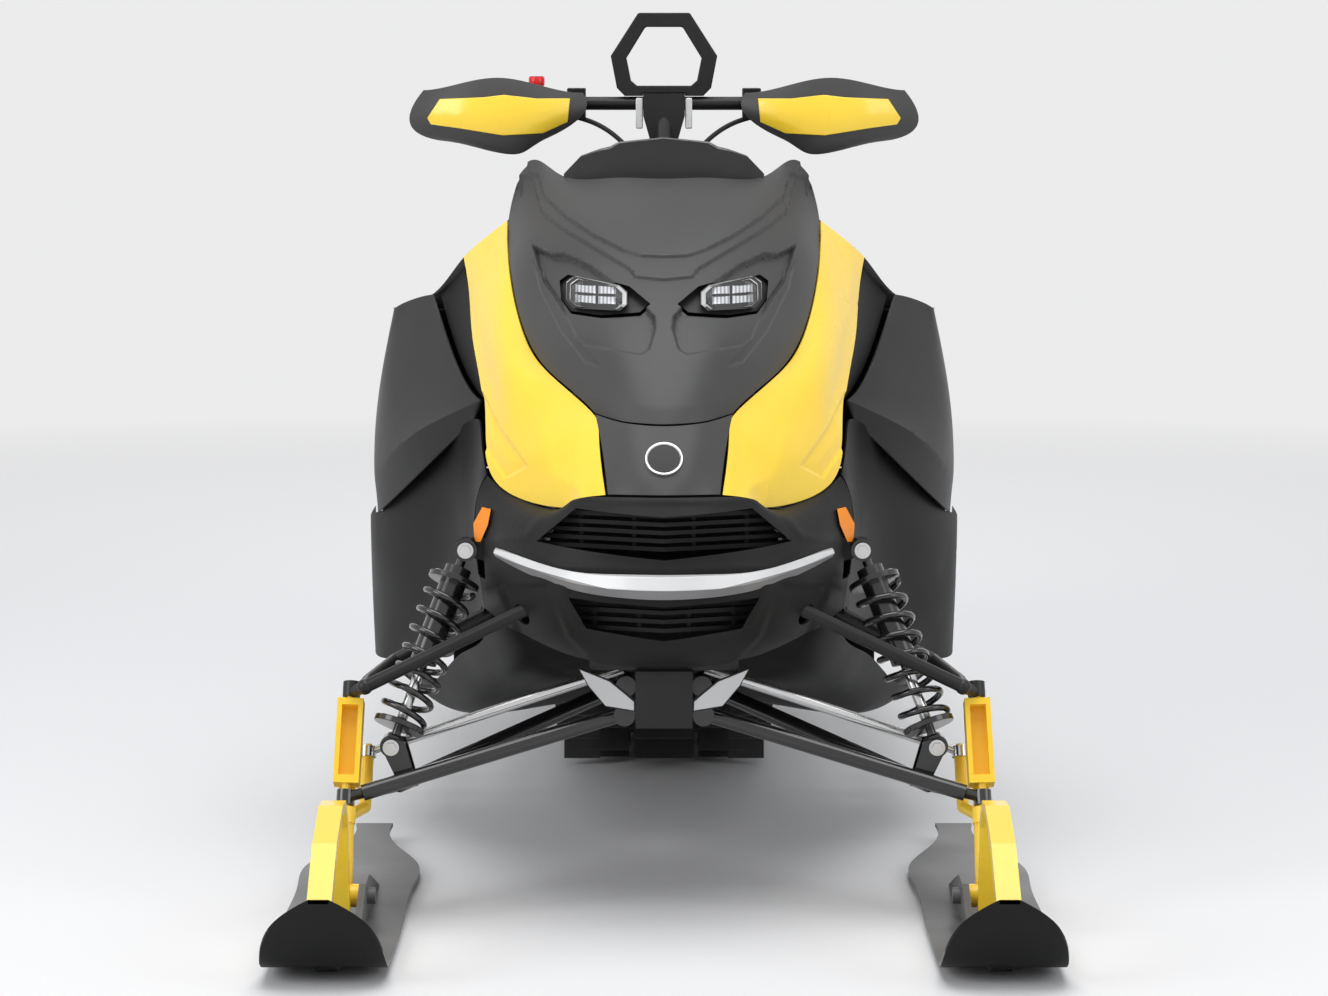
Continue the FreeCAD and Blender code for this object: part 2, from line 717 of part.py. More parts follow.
lower_side_rows = [
    [shell_top[-1], (280, -790, 700), (300, -650, 706), (352, -575, 665), (428, -475, 596), (468, -395, 545),
     (484, -320, 515)],
    [(284, -915, 592), (293, -800, 600), (318, -660, 600), (362, -580, 575), (430, -480, 535), (468, -400, 500),
     (484, -320, 480)],
    [(278, -930, 503), (292, -805, 500), (322, -665, 490), (366, -575, 460), (428, -480, 435), (465, -402, 410),
     (482, -320, 395)],
    [(270, -930, 445), (292, -820, 385), (333, -690, 345), (388, -545, 310), (430, -455, 294), (462, -400, 288),
     (478, -320, 288)],
]
lower_side = panel(lower_side_rows).cut(layer(side_rows, -3, panel_wall + 3, folds=(3,)))
for passage in passages:
    lower_side = lower_side.cut(passage)
save_both("lower_side_panels", largest(lower_side))

belly_rows = [
    [(frame_half + fit, -940, 425), (190, -935, 420), (235, -925, 425), (262, -905, 432)],
    [(frame_half + fit, -905, 350), (200, -900, 345), (250, -860, 355), (284, -812, 376)],
    [(frame_half + fit, -810, 318), (210, -800, 300), (285, -740, 305), (325, -688, 336)],
    [(frame_half + fit, -700, 268), (225, -690, 252), (325, -600, 237), (378, -545, 268)],
    [(frame_half + fit, -565, 262), (240, -540, 240), (350, -480, 235), (420, -460, 268)],
    [(frame_half + fit, -450, 262), (240, -440, 250), (360, -425, 255), (450, -405, 278)],
]
save_both("belly_pan", largest(panel(belly_rows).cut(passages[-1])))

tank_side_x = tank_half + 2
knee_rows = [
    [side_rear[0], (300, -165, 850), (205, -150, 846), (tank_side_x, -140, 838)],
    [side_rear[1], (315, -140, 780), (212, -125, 770), (tank_side_x, -115, 760)],
    [side_rear[2], (330, -125, 690), (220, -105, 680), (tank_side_x, -95, 660)],
    [side_rear[3], (350, -150, 575), (240, -110, 570), (tank_side_x, -80, tunnel_top_z + 6)],
]
save_both("knee_panels", panel(knee_rows))

console_rows = full_rows([
    visor_top,
    [(0, -520, 1022), (90, -510, 1020), (170, -490, 1014), (215, -490, 1018), hood_side[0]],
    [(0, -450, 975), (100, -446, 970), (190, -440, 962), (262, -448, 958), band_outer[0]],
    [(0, -400, 930), (105, -398, 925), (205, -400, 918), (295, -422, 905), side_inner[0]],
    [(0, -340, 893), (110, -335, 888), (215, -340, 880), (330, -360, 874), side_outer[0]],
    [(0, -260, 868), (106, -257, 866), (208, -258, 863), (316, -270, 861), side_middle[0]],
    [(0, -180, 852), (100, -178, 851), (200, -176, 850), (300, -180, 849), side_rear[0]],
])
post_hole = rod((0, -430, 865), (0, -336, 1101), post_hole_radius)
console = panel(console_rows).cut(post_hole)
beside_console = layer(side_rows, -1, panel_wall + 1, folds=(3,))
save("console", largest(console.cut(beside_console).cut(mirrored(beside_console))))

pod_outline = [(-158, 1084), (-132, 1111), (-70, 1133), (0, 1140), (70, 1133), (132, 1111), (158, 1084),
               (146, 1000), (-146, 1000)]
pod_block = slab_y(pod_outline, -560, -468)
for neighbour in (layer(console_rows, -fit, 120), layer(hood_rows, -4, 60), post_hole):
    pod_block = pod_block.cut(neighbour)
save("gauge_pod", largest(pod_block))

tank = slab_x([(tank_front_y, tunnel_top_z), (tank_front_y, 835), (seat_front_y, 820), (seat_front_y, tunnel_top_z)],
              -tank_half, tank_half)
cap_y = (seat_front_y - 176) / 2
save("fuel_tank", tank.fuse(rod((0, cap_y, 800), (0, cap_y, 846), 32)))


def seat_section(y, top):
    half = seat_width / 2
    profile = [(half, tunnel_top_z + fit), (half, top - 62), (half - 26, top - 16), (half - 66, top)]
    ring = [(x, y, z) for x, z in profile] + [(-x, y, z) for x, z in reversed(profile)]
    return Part.makePolygon([point(p) for p in ring + ring[:1]])


seat_line = [(seat_front_y + fit, 826), (0, 818), (150, seat_top_z), (560, 772), (seat_rear_y - 20, 752)]
seat = Part.makeLoft([seat_section(y, top) for y, top in seat_line], True, True)
save("seat", seat)
seat_back_y = seat_rear_y - 20 + fit
save("tail_light", box(-60, 60, seat_back_y, seat_back_y + 22, 640, 690))


# Front suspension

def bush(x, y, z, length):
    return rod((x, y - length / 2, z), (x, y + length / 2, z), bush_radius)


kingpin_axis = point(upper_ball).sub(point(lower_ball))
kingpin_length = kingpin_axis.Length
kingpin_axis.normalize()
kingpin_frame = FreeCAD.Placement(point(lower_ball), FreeCAD.Rotation(V(0, 0, 1), kingpin_axis))


def kingpin_step(p, distance):
    """The point at a distance from p along the kingpin's direction."""
    return tuple(point(p).add(kingpin_axis * distance))


def on_kingpin(shape):
    """Places a shape that is drawn with the lower ball at the origin and the kingpin along Z."""
    shape.Placement = kingpin_frame.multiply(shape.Placement)
    return shape


def kingpin_drum(radius, z0, z1):
    return on_kingpin(Part.makeCylinder(radius, z1 - z0, V(0, 0, z0)))


def make_lower_arm():
    x = keel_half + bush_radius + fit
    knuckle = (lower_ball[0] - 26, lower_ball[1], lower_ball[2] + 10)
    rear_end = (lower_ball[0] - 80, lower_ball[1] + 16, lower_ball[2] + 20)
    arm = rod(knuckle, along(lower_ball, upper_ball, 0.02), 8).fuse(kingpin_drum(13, -8, 14))
    for y, end in ((front_pivot_y, knuckle), (rear_pivot_y, rear_end)):
        arm = arm.fuse(bush(x, y, lower_pivot_z, 50)).fuse(rod((x, y, lower_pivot_z), end, arm_tube_radius))
    arm = arm.fuse(rod(rear_end, knuckle, arm_tube_radius - 2)).fuse(ball(rear_end, arm_tube_radius))
    sx, sy, sz = shock_low
    half = shock_eye_width / 2
    deck_z = lower_ball[2] + 38
    arm = arm.fuse(box(sx - 40, sx - 8, sy - half - 12, sy + half + 6, deck_z - 20, deck_z - 8))
    for y in (sy - half - 6 - fit, sy + half + fit):
        ear = slab_y([(sx - 36, deck_z - 12), (sx - 20, sz + 8), (sx + 4, sz + 14), (sx + 16, sz + 2),
                      (sx - 8, deck_z - 12)], y, y + 6)
        arm = arm.fuse(ear)
    arm = arm.fuse(rod((sx, sy - half - 10, sz), (sx, sy + half + 8, sz), shock_pin_radius))
    return arm.cut(kingpin_drum(kingpin_radius + fit, -60, 60))


save_both("lower_arms", make_lower_arm())


def make_upper_arm():
    x = frame_half + bush_radius + fit
    rear_run = [(x, upper_rear_y, upper_pivot_z), rear_bend, (440, -1000, 347), front_run_end]
    arm = rod((x, upper_front_y, upper_pivot_z), front_run_end, arm_tube_radius - 2)
    arm = arm.fuse(tube_run(rear_run, arm_tube_radius - 2)).fuse(ball(front_run_end, arm_tube_radius))
    arm = arm.fuse(rod(front_run_end, along(upper_ball, lower_ball, 0.02), 9)).fuse(
        kingpin_drum(13, kingpin_length - 10, kingpin_length + 12))
    for y in (upper_front_y, upper_rear_y):
        arm = arm.fuse(bush(x, y, upper_pivot_z, 20))
    return arm.cut(kingpin_drum(kingpin_radius + fit, kingpin_length - 40, kingpin_length + 40))


save_both("upper_arms", make_upper_arm())

shock = shock_body(shock_low, shock_top, shock_radius, (0, 1, 0), shock_eye_width, shock_pin_radius, shock_pin_radius)
save_both("front_shocks", shock)


def coil_point(low, axis, side, over, share):
    """A point of the coil's centre line and the outward direction there."""
    angle = 2 * math.pi * spring_turns * share
    out = side * math.cos(angle) + over * math.sin(angle)
    return low.add(axis * share).add(out * spring_radius), out


def make_coil():
    """The spring's wire as a chain of straight lengths, six-sided across."""
    low = point(along(shock_low, shock_top, 0.135))
    axis = point(along(shock_low, shock_top, 0.8)).sub(low)
    up = V(axis)
    up.normalize()
    side = up.cross(V(0, 1, 0))
    side.normalize()
    over = up.cross(side)
    steps = spring_turns * coil_steps
    rings = []
    for i in range(steps + 1):
        centre, out = coil_point(low, axis, side, over, i / steps)
        ring = []
        for k in range(6):
            angle = math.pi * k / 3
            ring.append(centre.add(out * (spring_wire * math.cos(angle))).add(up * (spring_wire * math.sin(angle))))
        rings.append(ring)
    faces = [Part.Face(Part.makePolygon(ring + ring[:1])) for ring in (rings[0], rings[-1])]
    for near, far in zip(rings, rings[1:]):
        for k in range(6):
            n = (k + 1) % 6
            faces.append(Part.Face(Part.makePolygon([near[k], near[n], far[n], near[k]])))
            faces.append(Part.Face(Part.makePolygon([near[k], far[n], far[k], near[k]])))
    return solid_from(faces)


def spring_collar(start, end):
    collar = rod(along(shock_low, shock_top, start), along(shock_low, shock_top, end), spring_radius + spring_wire)
    return collar.cut(rod(shock_low, shock_top, shock_radius + fit))


coil = make_coil()
low_collar = spring_collar(0.085, 0.115)
top_collar = spring_collar(0.82, 0.85)
save("front_springs", coil, low_collar, top_collar, mirrored(coil), mirrored(low_collar), mirrored(top_collar))


# Handlebar and what it carries

bar_line = [(-bar_half, bar_y + 12, bar_z - 10), (-bar_bend, bar_y, bar_z), (bar_bend, bar_y, bar_z),
            (bar_half, bar_y + 12, bar_z - 10)]
riser_half = 34
riser_top = bar_z + 16
riser = slab_y([(-riser_half, riser_top), (riser_half, riser_top), (riser_half, bar_z - 20), (22, bar_z - 62),
                (-22, bar_z - 62), (-riser_half, bar_z - 20)], bar_y - 24, bar_y + 22)
riser = riser.cut(slab_y([(-12, bar_z - 62), (12, bar_z - 62), (12, bar_z - 48), (0, bar_z - 36), (-12, bar_z - 48)],
                         bar_y - 40, bar_y - 16))
handlebar = tube_run(bar_line, bar_radius).fuse(rod(post_low, (0, bar_y, bar_z), post_radius)).fuse(riser)
save("handlebar", handlebar)

strap_outline = [(-87, 1268), (-42, 1338), (42, 1338), (87, 1268), (77, 1216), (64, 1203), (-64, 1203), (-77, 1216)]
strap = slab_y(strap_outline, bar_y - 12, bar_y + 12)
strap = strap.cut(slab_y(shrunk(strap_outline, strap_bar), bar_y - 30, bar_y + 30))
strap = strap.cut(box(-riser_half - fit, riser_half + fit, bar_y - 30, bar_y + 30, bar_z - 50, riser_top + fit))
strap = strap.cut(tube_run(bar_line, bar_radius + fit))
save("mountain_strap", largest(strap))

guard_shape = [
    [(-130, 52, 1209), (-77, 70, 1217), (-4, 80, 1233), (68, 72, 1224), (129, 38, 1213)],
    [(-134, 56, 1180), (-72, 84, 1175), (0, 94, 1172), (73, 82, 1168), (152, 34, 1161)],
    [(-78, 62, 1138), (-49, 74, 1122), (-22, 78, 1110), (28, 70, 1117), (80, 52, 1129)],
]
guard_rows = [[(grip_start + out, bar_y - ahead, z) for out, ahead, z in row] for row in guard_shape]
insert_shape = [(122, 1168), (101, 1199), (30, 1202), (-4, 1206), (-57, 1200), (-110, 1200), (-106, 1162),
                (-66, 1144), (-2, 1141), (68, 1152), (116, 1158)]
insert_outline = [(grip_start + out, z) for out, z in insert_shape]


def guard_layer(near, far):
    """A layer of the guard's curved face, between two depths behind it."""
    front = [[point(p).add(V(0, near, 0)) for p in row] for row in guard_rows]
    back = [[point(p).add(V(0, far, 0)) for p in row] for row in guard_rows]
    return between(front, back)


guard_stay = rod((stay_x, bar_y - 82, bar_z - 6), (stay_x, bar_y - bar_radius - fit, bar_z - 6), 7)
save_both("hand_guards", guard_layer(0, 5).fuse(guard_stay.cut(guard_layer(-60, 2))))
save_both("guard_inserts", guard_layer(-4, -fit).common(slab_y(insert_outline, bar_y - 140, bar_y)))

grip_end = (bar_half - bar_end, bar_y + 12, bar_z - 10)
bar_clearance = tube_run(bar_line, bar_radius + fit)
save_both("grips", rod((grip_start, bar_y, bar_z), grip_end, grip_radius).cut(bar_clearance))

housing = box(housing_inner, housing_inner + housing_width, bar_y - 26, bar_y + 24, bar_z - 24, bar_z + 22)
lever = tube_run([(stay_x - 12, bar_y - 22, bar_z - 8), (stay_x + 24, bar_y - 48, bar_z - 14),
                  (grip_start + 110, bar_y - 42, bar_z - 24)], 5)
control = housing.fuse(lever).cut(bar_clearance).cut(guard_stay)
switch_x = -housing_inner - 22
stop_switch = rod((switch_x, bar_y - 4, bar_z + 20), (switch_x, bar_y - 4, bar_z + 44), 11)
save("controls", control, mirrored(control).fuse(stop_switch))


def hose(points, radius):
    """Straight runs joined by arcs as large as the runs allow, with a round section."""
    edges = []
    start = point(points[0])
    for i in range(1, len(points) - 1):
        before, corner, after = (point(points[i + k]) for k in (-1, 0, 1))
        back = before.sub(corner)
        ahead = after.sub(corner)
        reach = 0.45 * min(back.Length, ahead.Length)
        half_turn = (math.pi - back.getAngle(ahead)) / 2
        bend = reach / math.tan(half_turn)
        back.normalize()
        ahead.normalize()
        arc_start = corner.add(back * reach)
        arc_end = corner.add(ahead * reach)
        inward = back.add(ahead)
        inward.normalize()
        depth = bend / math.cos(half_turn) - bend
        edges.append(Part.LineSegment(start, arc_start).toShape())
        edges.append(Part.Arc(arc_start, corner.add(inward * depth), arc_end).toShape())
        start = arc_end
    edges.append(Part.LineSegment(start, point(points[-1])).toShape())
    path = Part.Wire(edges)
    section = Part.Wire([Part.makeCircle(radius, point(points[0]), point(points[1]).sub(point(points[0])))])
    return path.makePipeShell([section], True, False)


hose_route = [(housing_inner - fit, bar_y - 14, bar_z - 14), (148, bar_y - 18, bar_z - 20), (104, bar_y - 30, bar_z - 34),
              (66, bar_y - 44, bar_z - 62), (34, bar_y - 60, bar_z - 104), (27, bar_y - 77, bar_z - 148),
              (25, bar_y - 92, bar_z - 190)]
save_both("brake_hoses", hose(hose_route, hose_radius))


# Spindles, tie rods and skis

def make_spindle():
    bolt = (ski_x, ski_bolt_y, ski_bolt_z)
    top = kingpin_length - 14
    channel = Part.makeBox(38, 36, top - 24, V(-19, -10, 24)).cut(Part.makeBox(24, 24, top - 46, V(-12, -11, 36)))
    back_wall = Part.makeBox(24, 10, 56, V(-12, 20, -26))
    lower_boss = Part.makeCylinder(17, 24, V(0, 0, -36))
    web = Part.makeBox(24, 20, 22, V(-12, 10, -36))
    pin = Part.makeCylinder(kingpin_radius, 44, V(0, 0, -16))
    stud = Part.makeCylinder(kingpin_radius, 16, V(0, 0, top - 4))
    body = on_kingpin(channel.fuse([back_wall, lower_boss, web, pin, stud]))
    post_foot = kingpin_step(tie_rod_end, -84)
    steering_arm = rod(kingpin_step(lower_ball, -28), post_foot, 9).fuse(ball(post_foot, 9))
    steering_arm = steering_arm.fuse(rod(post_foot, kingpin_step(tie_rod_end, -8 - fit), 9))
    steering_arm = steering_arm.fuse(rod(post_foot, kingpin_step(tie_rod_end, 12), tie_pin_radius))
    leg = rod(along(lower_ball, bolt, 0.2), bolt, 14)
    hub = rod((ski_x - cheek_inner + 1, ski_bolt_y, ski_bolt_z), (ski_x + cheek_inner - 1, ski_bolt_y, ski_bolt_z), 17)
    body = body.fuse([steering_arm, leg, hub])
    return body.cut(rod((ski_x - 60, ski_bolt_y, ski_bolt_z), (ski_x + 60, ski_bolt_y, ski_bolt_z), ski_bolt_radius))


save_pair("spindle", make_spindle())


def make_tie_rod():
    eye = rod(kingpin_step(tie_rod_end, -8), kingpin_step(tie_rod_end, 8), 12)
    neck = rod(along(tie_rod_end, tie_rod_inner, 0.02), along(tie_rod_end, tie_rod_inner, 0.1), 6)
    tube = rod(along(tie_rod_end, tie_rod_inner, 0.08), tie_rod_inner, tie_rod_radius)
    hole = rod(kingpin_step(tie_rod_end, -20), kingpin_step(tie_rod_end, 20), tie_pin_radius + fit)
    return eye.fuse([neck, tube]).cut(hole)


save_pair("tie_rod", make_tie_rod())

ski_line = [(ski_tip_y, 128, 0.16), (ski_tip_y + 4, 116, 0.4), (ski_tip_y + 14, 92, 0.74), (ski_tip_y + 32, 62, 0.93),
            (ski_tip_y + 62, 33, 1), (ski_tip_y + 110, 15, 1), (ski_tip_y + 190, 10, 1), (-1100, 10, 1),
            (-900, 10, 1), (-745, 10, 1), (-650, 11, 0.7), (-570, 14, 0.4), (ski_rear_y, 24, 0.34)]


def make_ski():
    top = []
    under = []
    for y, z, share in ski_line:
        half = share * ski_width / 2
        for rows, lift in ((top, ski_plate), (under, 0)):
            rows.append([V(ski_x + s * half, y, z + lift) for s in (-1, -0.5, 0, 0.5, 1)])
    plate = between(top, under)
    keel = slab_x([(-1450, 14), (-1400, 0), (-660, 0), (-600, 10), (-600, 15), (-1440, 19)], ski_x - 16, ski_x + 16)
    cheek_line = [(-1310, 12), (-1190, 62), (-1160, 74), (-1095, 74), (-1040, 60), (-880, 13)]
    cheeks = [slab_x(cheek_line, ski_x - cheek_inner - 10, ski_x - cheek_inner),
              slab_x(cheek_line, ski_x + cheek_inner, ski_x + cheek_inner + 10)]
    bolt = rod((ski_x - cheek_inner - 22, ski_bolt_y, ski_bolt_z), (ski_x + cheek_inner + 22, ski_bolt_y, ski_bolt_z),
               ski_bolt_radius - 0.05)
    nuts = [rod((ski_x + s * (cheek_inner + 10), ski_bolt_y, ski_bolt_z),
                (ski_x + s * (cheek_inner + 22), ski_bolt_y, ski_bolt_z), 12) for s in (-1, 1)]
    return plate.fuse([keel, bolt] + cheeks + nuts)


ski = make_ski()
save_pair("ski", ski)

loop_half = 17
loop_outer = [(ski_tip_y + 6, 124), (-1440, 190), (-1330, 222), (-1270, 218), (-1230, 180), (-1205, 20)]
loop_inner = [(ski_tip_y + 26, 104), (-1430, 176), (-1332, 207), (-1279, 204), (-1243, 174), (-1219, 20)]
loop = slab_x(loop_outer + loop_inner[::-1], ski_x - loop_half, ski_x + loop_half)
save_pair("ski_loop", largest(loop.cut(ski).cut(make_spindle())))
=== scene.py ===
# %% [markdown]
# A snowmobile, dressed for the studio. The construction comes packed as a fixed frame: every plate, tube
# and panel is already at its real size and place. This file gives those pieces their finishes, adds the
# small things that a press shot shows, such as bolts, rivets and seams, and lights it in a pale room.

# %% Load the frame
import json
import math

import bmesh
import bpy
import numpy as np
from mathutils import Matrix, Vector
from mathutils.bvhtree import BVHTree


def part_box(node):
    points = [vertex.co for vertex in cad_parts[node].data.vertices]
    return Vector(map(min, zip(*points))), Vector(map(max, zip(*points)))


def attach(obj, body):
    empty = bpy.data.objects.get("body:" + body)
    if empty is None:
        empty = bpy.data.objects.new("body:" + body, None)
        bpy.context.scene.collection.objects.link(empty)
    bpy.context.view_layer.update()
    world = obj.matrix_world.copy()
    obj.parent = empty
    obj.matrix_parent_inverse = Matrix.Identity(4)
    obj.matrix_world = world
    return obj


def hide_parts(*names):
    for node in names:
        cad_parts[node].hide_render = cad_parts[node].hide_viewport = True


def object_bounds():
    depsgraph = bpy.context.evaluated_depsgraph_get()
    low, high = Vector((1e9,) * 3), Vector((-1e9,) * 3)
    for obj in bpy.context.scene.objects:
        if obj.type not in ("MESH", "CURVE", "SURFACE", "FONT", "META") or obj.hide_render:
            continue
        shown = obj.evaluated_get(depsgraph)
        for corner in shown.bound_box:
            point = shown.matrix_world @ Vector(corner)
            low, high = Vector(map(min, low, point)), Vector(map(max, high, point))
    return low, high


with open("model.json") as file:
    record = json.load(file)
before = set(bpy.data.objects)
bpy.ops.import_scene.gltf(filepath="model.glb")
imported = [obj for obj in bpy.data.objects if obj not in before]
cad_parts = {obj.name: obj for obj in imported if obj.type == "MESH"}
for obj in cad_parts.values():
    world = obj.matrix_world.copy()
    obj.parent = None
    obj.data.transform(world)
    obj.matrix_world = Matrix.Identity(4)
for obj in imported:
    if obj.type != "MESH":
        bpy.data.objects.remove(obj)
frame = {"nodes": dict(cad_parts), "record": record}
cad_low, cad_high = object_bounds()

nodes = frame["nodes"]
scene = bpy.context.scene

# %% [markdown]
# The photograph was taken from the front, about as high as the handlebar, through a long lens, so that the
# skis hardly spread. A long lens far away keeps the proportions of the bodywork; a short one close by would
# swell the nose. The values below put the ski tips, the bumper and the handlebar where the photograph has
# them.

# %% Camera
FRAME_WIDTH = 1328
FRAME_HEIGHT = 996
FOCAL_PIXELS = 4053
SENSOR = 36.0
CAMERA_PLACE = (0.0, -6.96, 1.30)
CAMERA_PITCH = math.radians(6.5)

camera_data = bpy.data.cameras.new("studio_camera")
camera_data.sensor_width = SENSOR
camera_data.lens = FOCAL_PIXELS / FRAME_WIDTH * SENSOR
camera = bpy.data.objects.new("studio_camera", camera_data)
camera.location = CAMERA_PLACE
camera.rotation_euler = (math.pi / 2 - CAMERA_PITCH, 0, 0)
scene.collection.objects.link(camera)
scene.camera = camera
print("lens:", round(camera_data.lens, 1), "mm")

# %% [markdown]
# Creases and steps of the bodywork are easiest to measure in the photograph itself. So this cell works out
# where any point of the scene lands in the picture, once for the modelling, and has nothing to do with how
# the finished machine is rendered later.

# %% From the scene to the photograph
def photo_place(points):
    """Where points of the scene land in the photograph: its pixels to the right and down."""
    away = points - np.array(CAMERA_PLACE)
    ahead = away[:, 1] * math.cos(CAMERA_PITCH) - away[:, 2] * math.sin(CAMERA_PITCH)
    rise = away[:, 1] * math.sin(CAMERA_PITCH) + away[:, 2] * math.cos(CAMERA_PITCH)
    right = FRAME_WIDTH / 2 + away[:, 0] / ahead * FOCAL_PIXELS
    down = FRAME_HEIGHT / 2 - rise / ahead * FOCAL_PIXELS
    return right, down


def left_half(right):
    """The machine is the same on both sides, so its right half is folded onto the left one."""
    return FRAME_WIDTH / 2 - np.abs(right - FRAME_WIDTH / 2)


def soft_step(distance, width):
    share = np.clip(distance / width + 0.5, 0, 1)
    return share * share * (3 - 2 * share)


def below_line(right, down, line):
    """How many pixels each place lies below a line that is drawn from left to right."""
    return down - np.interp(left_half(right), [p[0] for p in line], [p[1] for p in line])


def from_outline(right, down, outline):
    """Pixels inside a closed outline, or minus the pixels outside it."""
    u = left_half(right)
    nearest = np.full(len(u), 1e9)
    inside = np.zeros(len(u), bool)
    for (ax, ay), (bx, by) in zip(outline, outline[1:] + outline[:1]):
        share = ((u - ax) * (bx - ax) + (down - ay) * (by - ay)) / ((bx - ax) ** 2 + (by - ay) ** 2)
        share = np.clip(share, 0, 1)
        nearest = np.minimum(nearest, np.hypot(u - ax - share * (bx - ax), down - ay - share * (by - ay)))
        if ay != by:
            crosses = (ay > down) != (by > down)
            inside ^= crosses & (u < (bx - ax) * (down - ay) / (by - ay) + ax)
    return np.where(inside, nearest, -nearest)


print("middle of the bumper lands at", [round(float(v[0])) for v in photo_place(np.array([[0, -1.2, 0.52]]))])

# %% [markdown]
# The room is a pale floor that fades into a pale sky. The camera sees the floor's far end and the sky at
# the same brightness, so no horizon shows, and the lamps alone decide how bright the machine is. The floor
# could be a plain white, but then its shadow would wash out; it is a little darker where lamps light it.

# %% Room and light
PALE = (0.835, 0.835, 0.84, 1)
SKY_LIGHT = (0.42, 0.43, 0.45, 1)
ROOM_REACH = 60
FLOOR_FADE = (2.2, 7.0)


def link(obj):
    scene.collection.objects.link(obj)
    return obj


def fill(node, values):
    for label, value in values.items():
        node.inputs[label].default_value = value


def add_node(tree, kind, values=None, **settings):
    node = tree.nodes.new(kind)
    for label, value in settings.items():
        setattr(node, label, value)
    fill(node, values or {})
    return node


def wire(tree, *links):
    """Joins nodes, each link given as a node, its output, the next node and its input."""
    for source, output, target, entry in links:
        tree.links.new(source.outputs[output], target.inputs[entry])


def new_tree(name):
    material = bpy.data.materials.new(name)
    material.use_nodes = True
    tree = material.node_tree
    return material, tree, tree.nodes["Principled BSDF"]


def make_floor():
    mesh = bpy.data.meshes.new("studio_floor")
    r = ROOM_REACH
    mesh.from_pydata([(-r, -r, 0), (r, -r, 0), (r, r, 0), (-r, r, 0)], [], [(0, 1, 2, 3)])
    floor = link(bpy.data.objects.new("studio_floor", mesh))
    material, tree, shader = new_tree("floor_paint")
    fill(shader, {"Base Color": PALE, "Roughness": 0.95, "Specular IOR Level": 0.0})
    place = tree.nodes.new("ShaderNodeTexCoord")
    apart = add_node(tree, "ShaderNodeVectorMath", operation="LENGTH")
    fade = add_node(tree, "ShaderNodeMapRange", {"From Min": FLOOR_FADE[0], "From Max": FLOOR_FADE[1]})
    far = add_node(tree, "ShaderNodeEmission", {"Color": PALE})
    mix = tree.nodes.new("ShaderNodeMixShader")
    wire(tree, (place, "Object", apart, 0), (apart, "Value", fade, "Value"), (fade, "Result", mix, "Fac"),
         (shader, "BSDF", mix, 1), (far, "Emission", mix, 2))
    tree.links.new(mix.outputs["Shader"], tree.nodes["Material Output"].inputs["Surface"])
    mesh.materials.append(material)


def make_world():
    world = bpy.data.worlds.new("studio_world")
    scene.world = world
    world.use_nodes = True
    tree = world.node_tree
    path = tree.nodes.new("ShaderNodeLightPath")
    seen = add_node(tree, "ShaderNodeMath", operation="MAXIMUM")
    also = add_node(tree, "ShaderNodeMath", operation="MAXIMUM")
    mix = add_node(tree, "ShaderNodeMix", {"A": SKY_LIGHT, "B": PALE}, data_type="RGBA")
    wire(tree, (path, "Is Camera Ray", seen, 0), (path, "Is Transmission Ray", seen, 1),
         (seen, 0, also, 0), (path, "Is Glossy Ray", also, 1), (also, 0, mix, "Factor"))
    tree.links.new(mix.outputs["Result"], tree.nodes["Background"].inputs["Color"])


def soft_lamp(name, place, aim, size, watts):
    data = bpy.data.lights.new(name, "AREA")
    data.shape = "RECTANGLE"
    data.size, data.size_y = size
    data.energy = watts
    lamp = link(bpy.data.objects.new(name, data))
    lamp.location = place
    lamp.rotation_euler = (Vector(aim) - Vector(place)).to_track_quat("-Z", "Y").to_euler()


scene.view_settings.view_transform = "Standard"
make_floor()
make_world()
LAMPS = [
    ("lamp_top", (0, -1.5, 5.0), (0, -0.3, 0.5), (4, 4), 150),
    ("lamp_left", (-5, -4, 3.0), (0, -0.5, 0.7), (3, 3), 125),
    ("lamp_right", (5, -4, 3.0), (0, -0.5, 0.7), (3, 3), 65),
    ("lamp_back", (0, 5, 3.5), (0, 0.5, 0.6), (4, 2), 70),
]
for lamp in LAMPS:
    soft_lamp(*lamp)
print("lamps:", len(bpy.data.lights))

# %% [markdown]
# Every finish on the machine is a moulding, a paint or a metal, and none is quite even: plastic has a fine
# grain, paint a slight orange peel, sheet metal its brushing. Three shared groups give these patterns from
# each piece's own coordinates: fine grain, scratches drawn out along the machine, and rounded cells as on
# vinyl. Painting images would show more detail, but they would need unwrapping.

# %% Surface pattern groups
def pattern_group(name, size, slow_values, kind, values, stretch=None, **settings):
    """A slow change of tone and a fine height of a given size, in each piece's own coordinates."""
    group = bpy.data.node_groups.new(name, "ShaderNodeTree")
    given_size = group.interface.new_socket("Size", in_out="INPUT", socket_type="NodeSocketFloat")
    given_size.default_value = size
    for label in ("Tone", "Height"):
        group.interface.new_socket(label, in_out="OUTPUT", socket_type="NodeSocketFloat")
    given = group.nodes.new("NodeGroupInput")
    result = group.nodes.new("NodeGroupOutput")
    place = group.nodes.new("ShaderNodeTexCoord")
    slow = add_node(group, "ShaderNodeTexNoise", slow_values)
    fine = add_node(group, kind, values, **settings)
    source, output = place, "Object"
    if stretch:
        source, output = add_node(group, "ShaderNodeMapping", {"Scale": stretch}), "Vector"
        wire(group, (place, "Object", source, "Vector"))
    wire(group, (place, "Object", slow, "Vector"), (slow, "Fac", result, "Tone"),
         (source, output, fine, "Vector"), (given, "Size", fine, "Scale"), (fine, 0, result, "Height"))
    return group


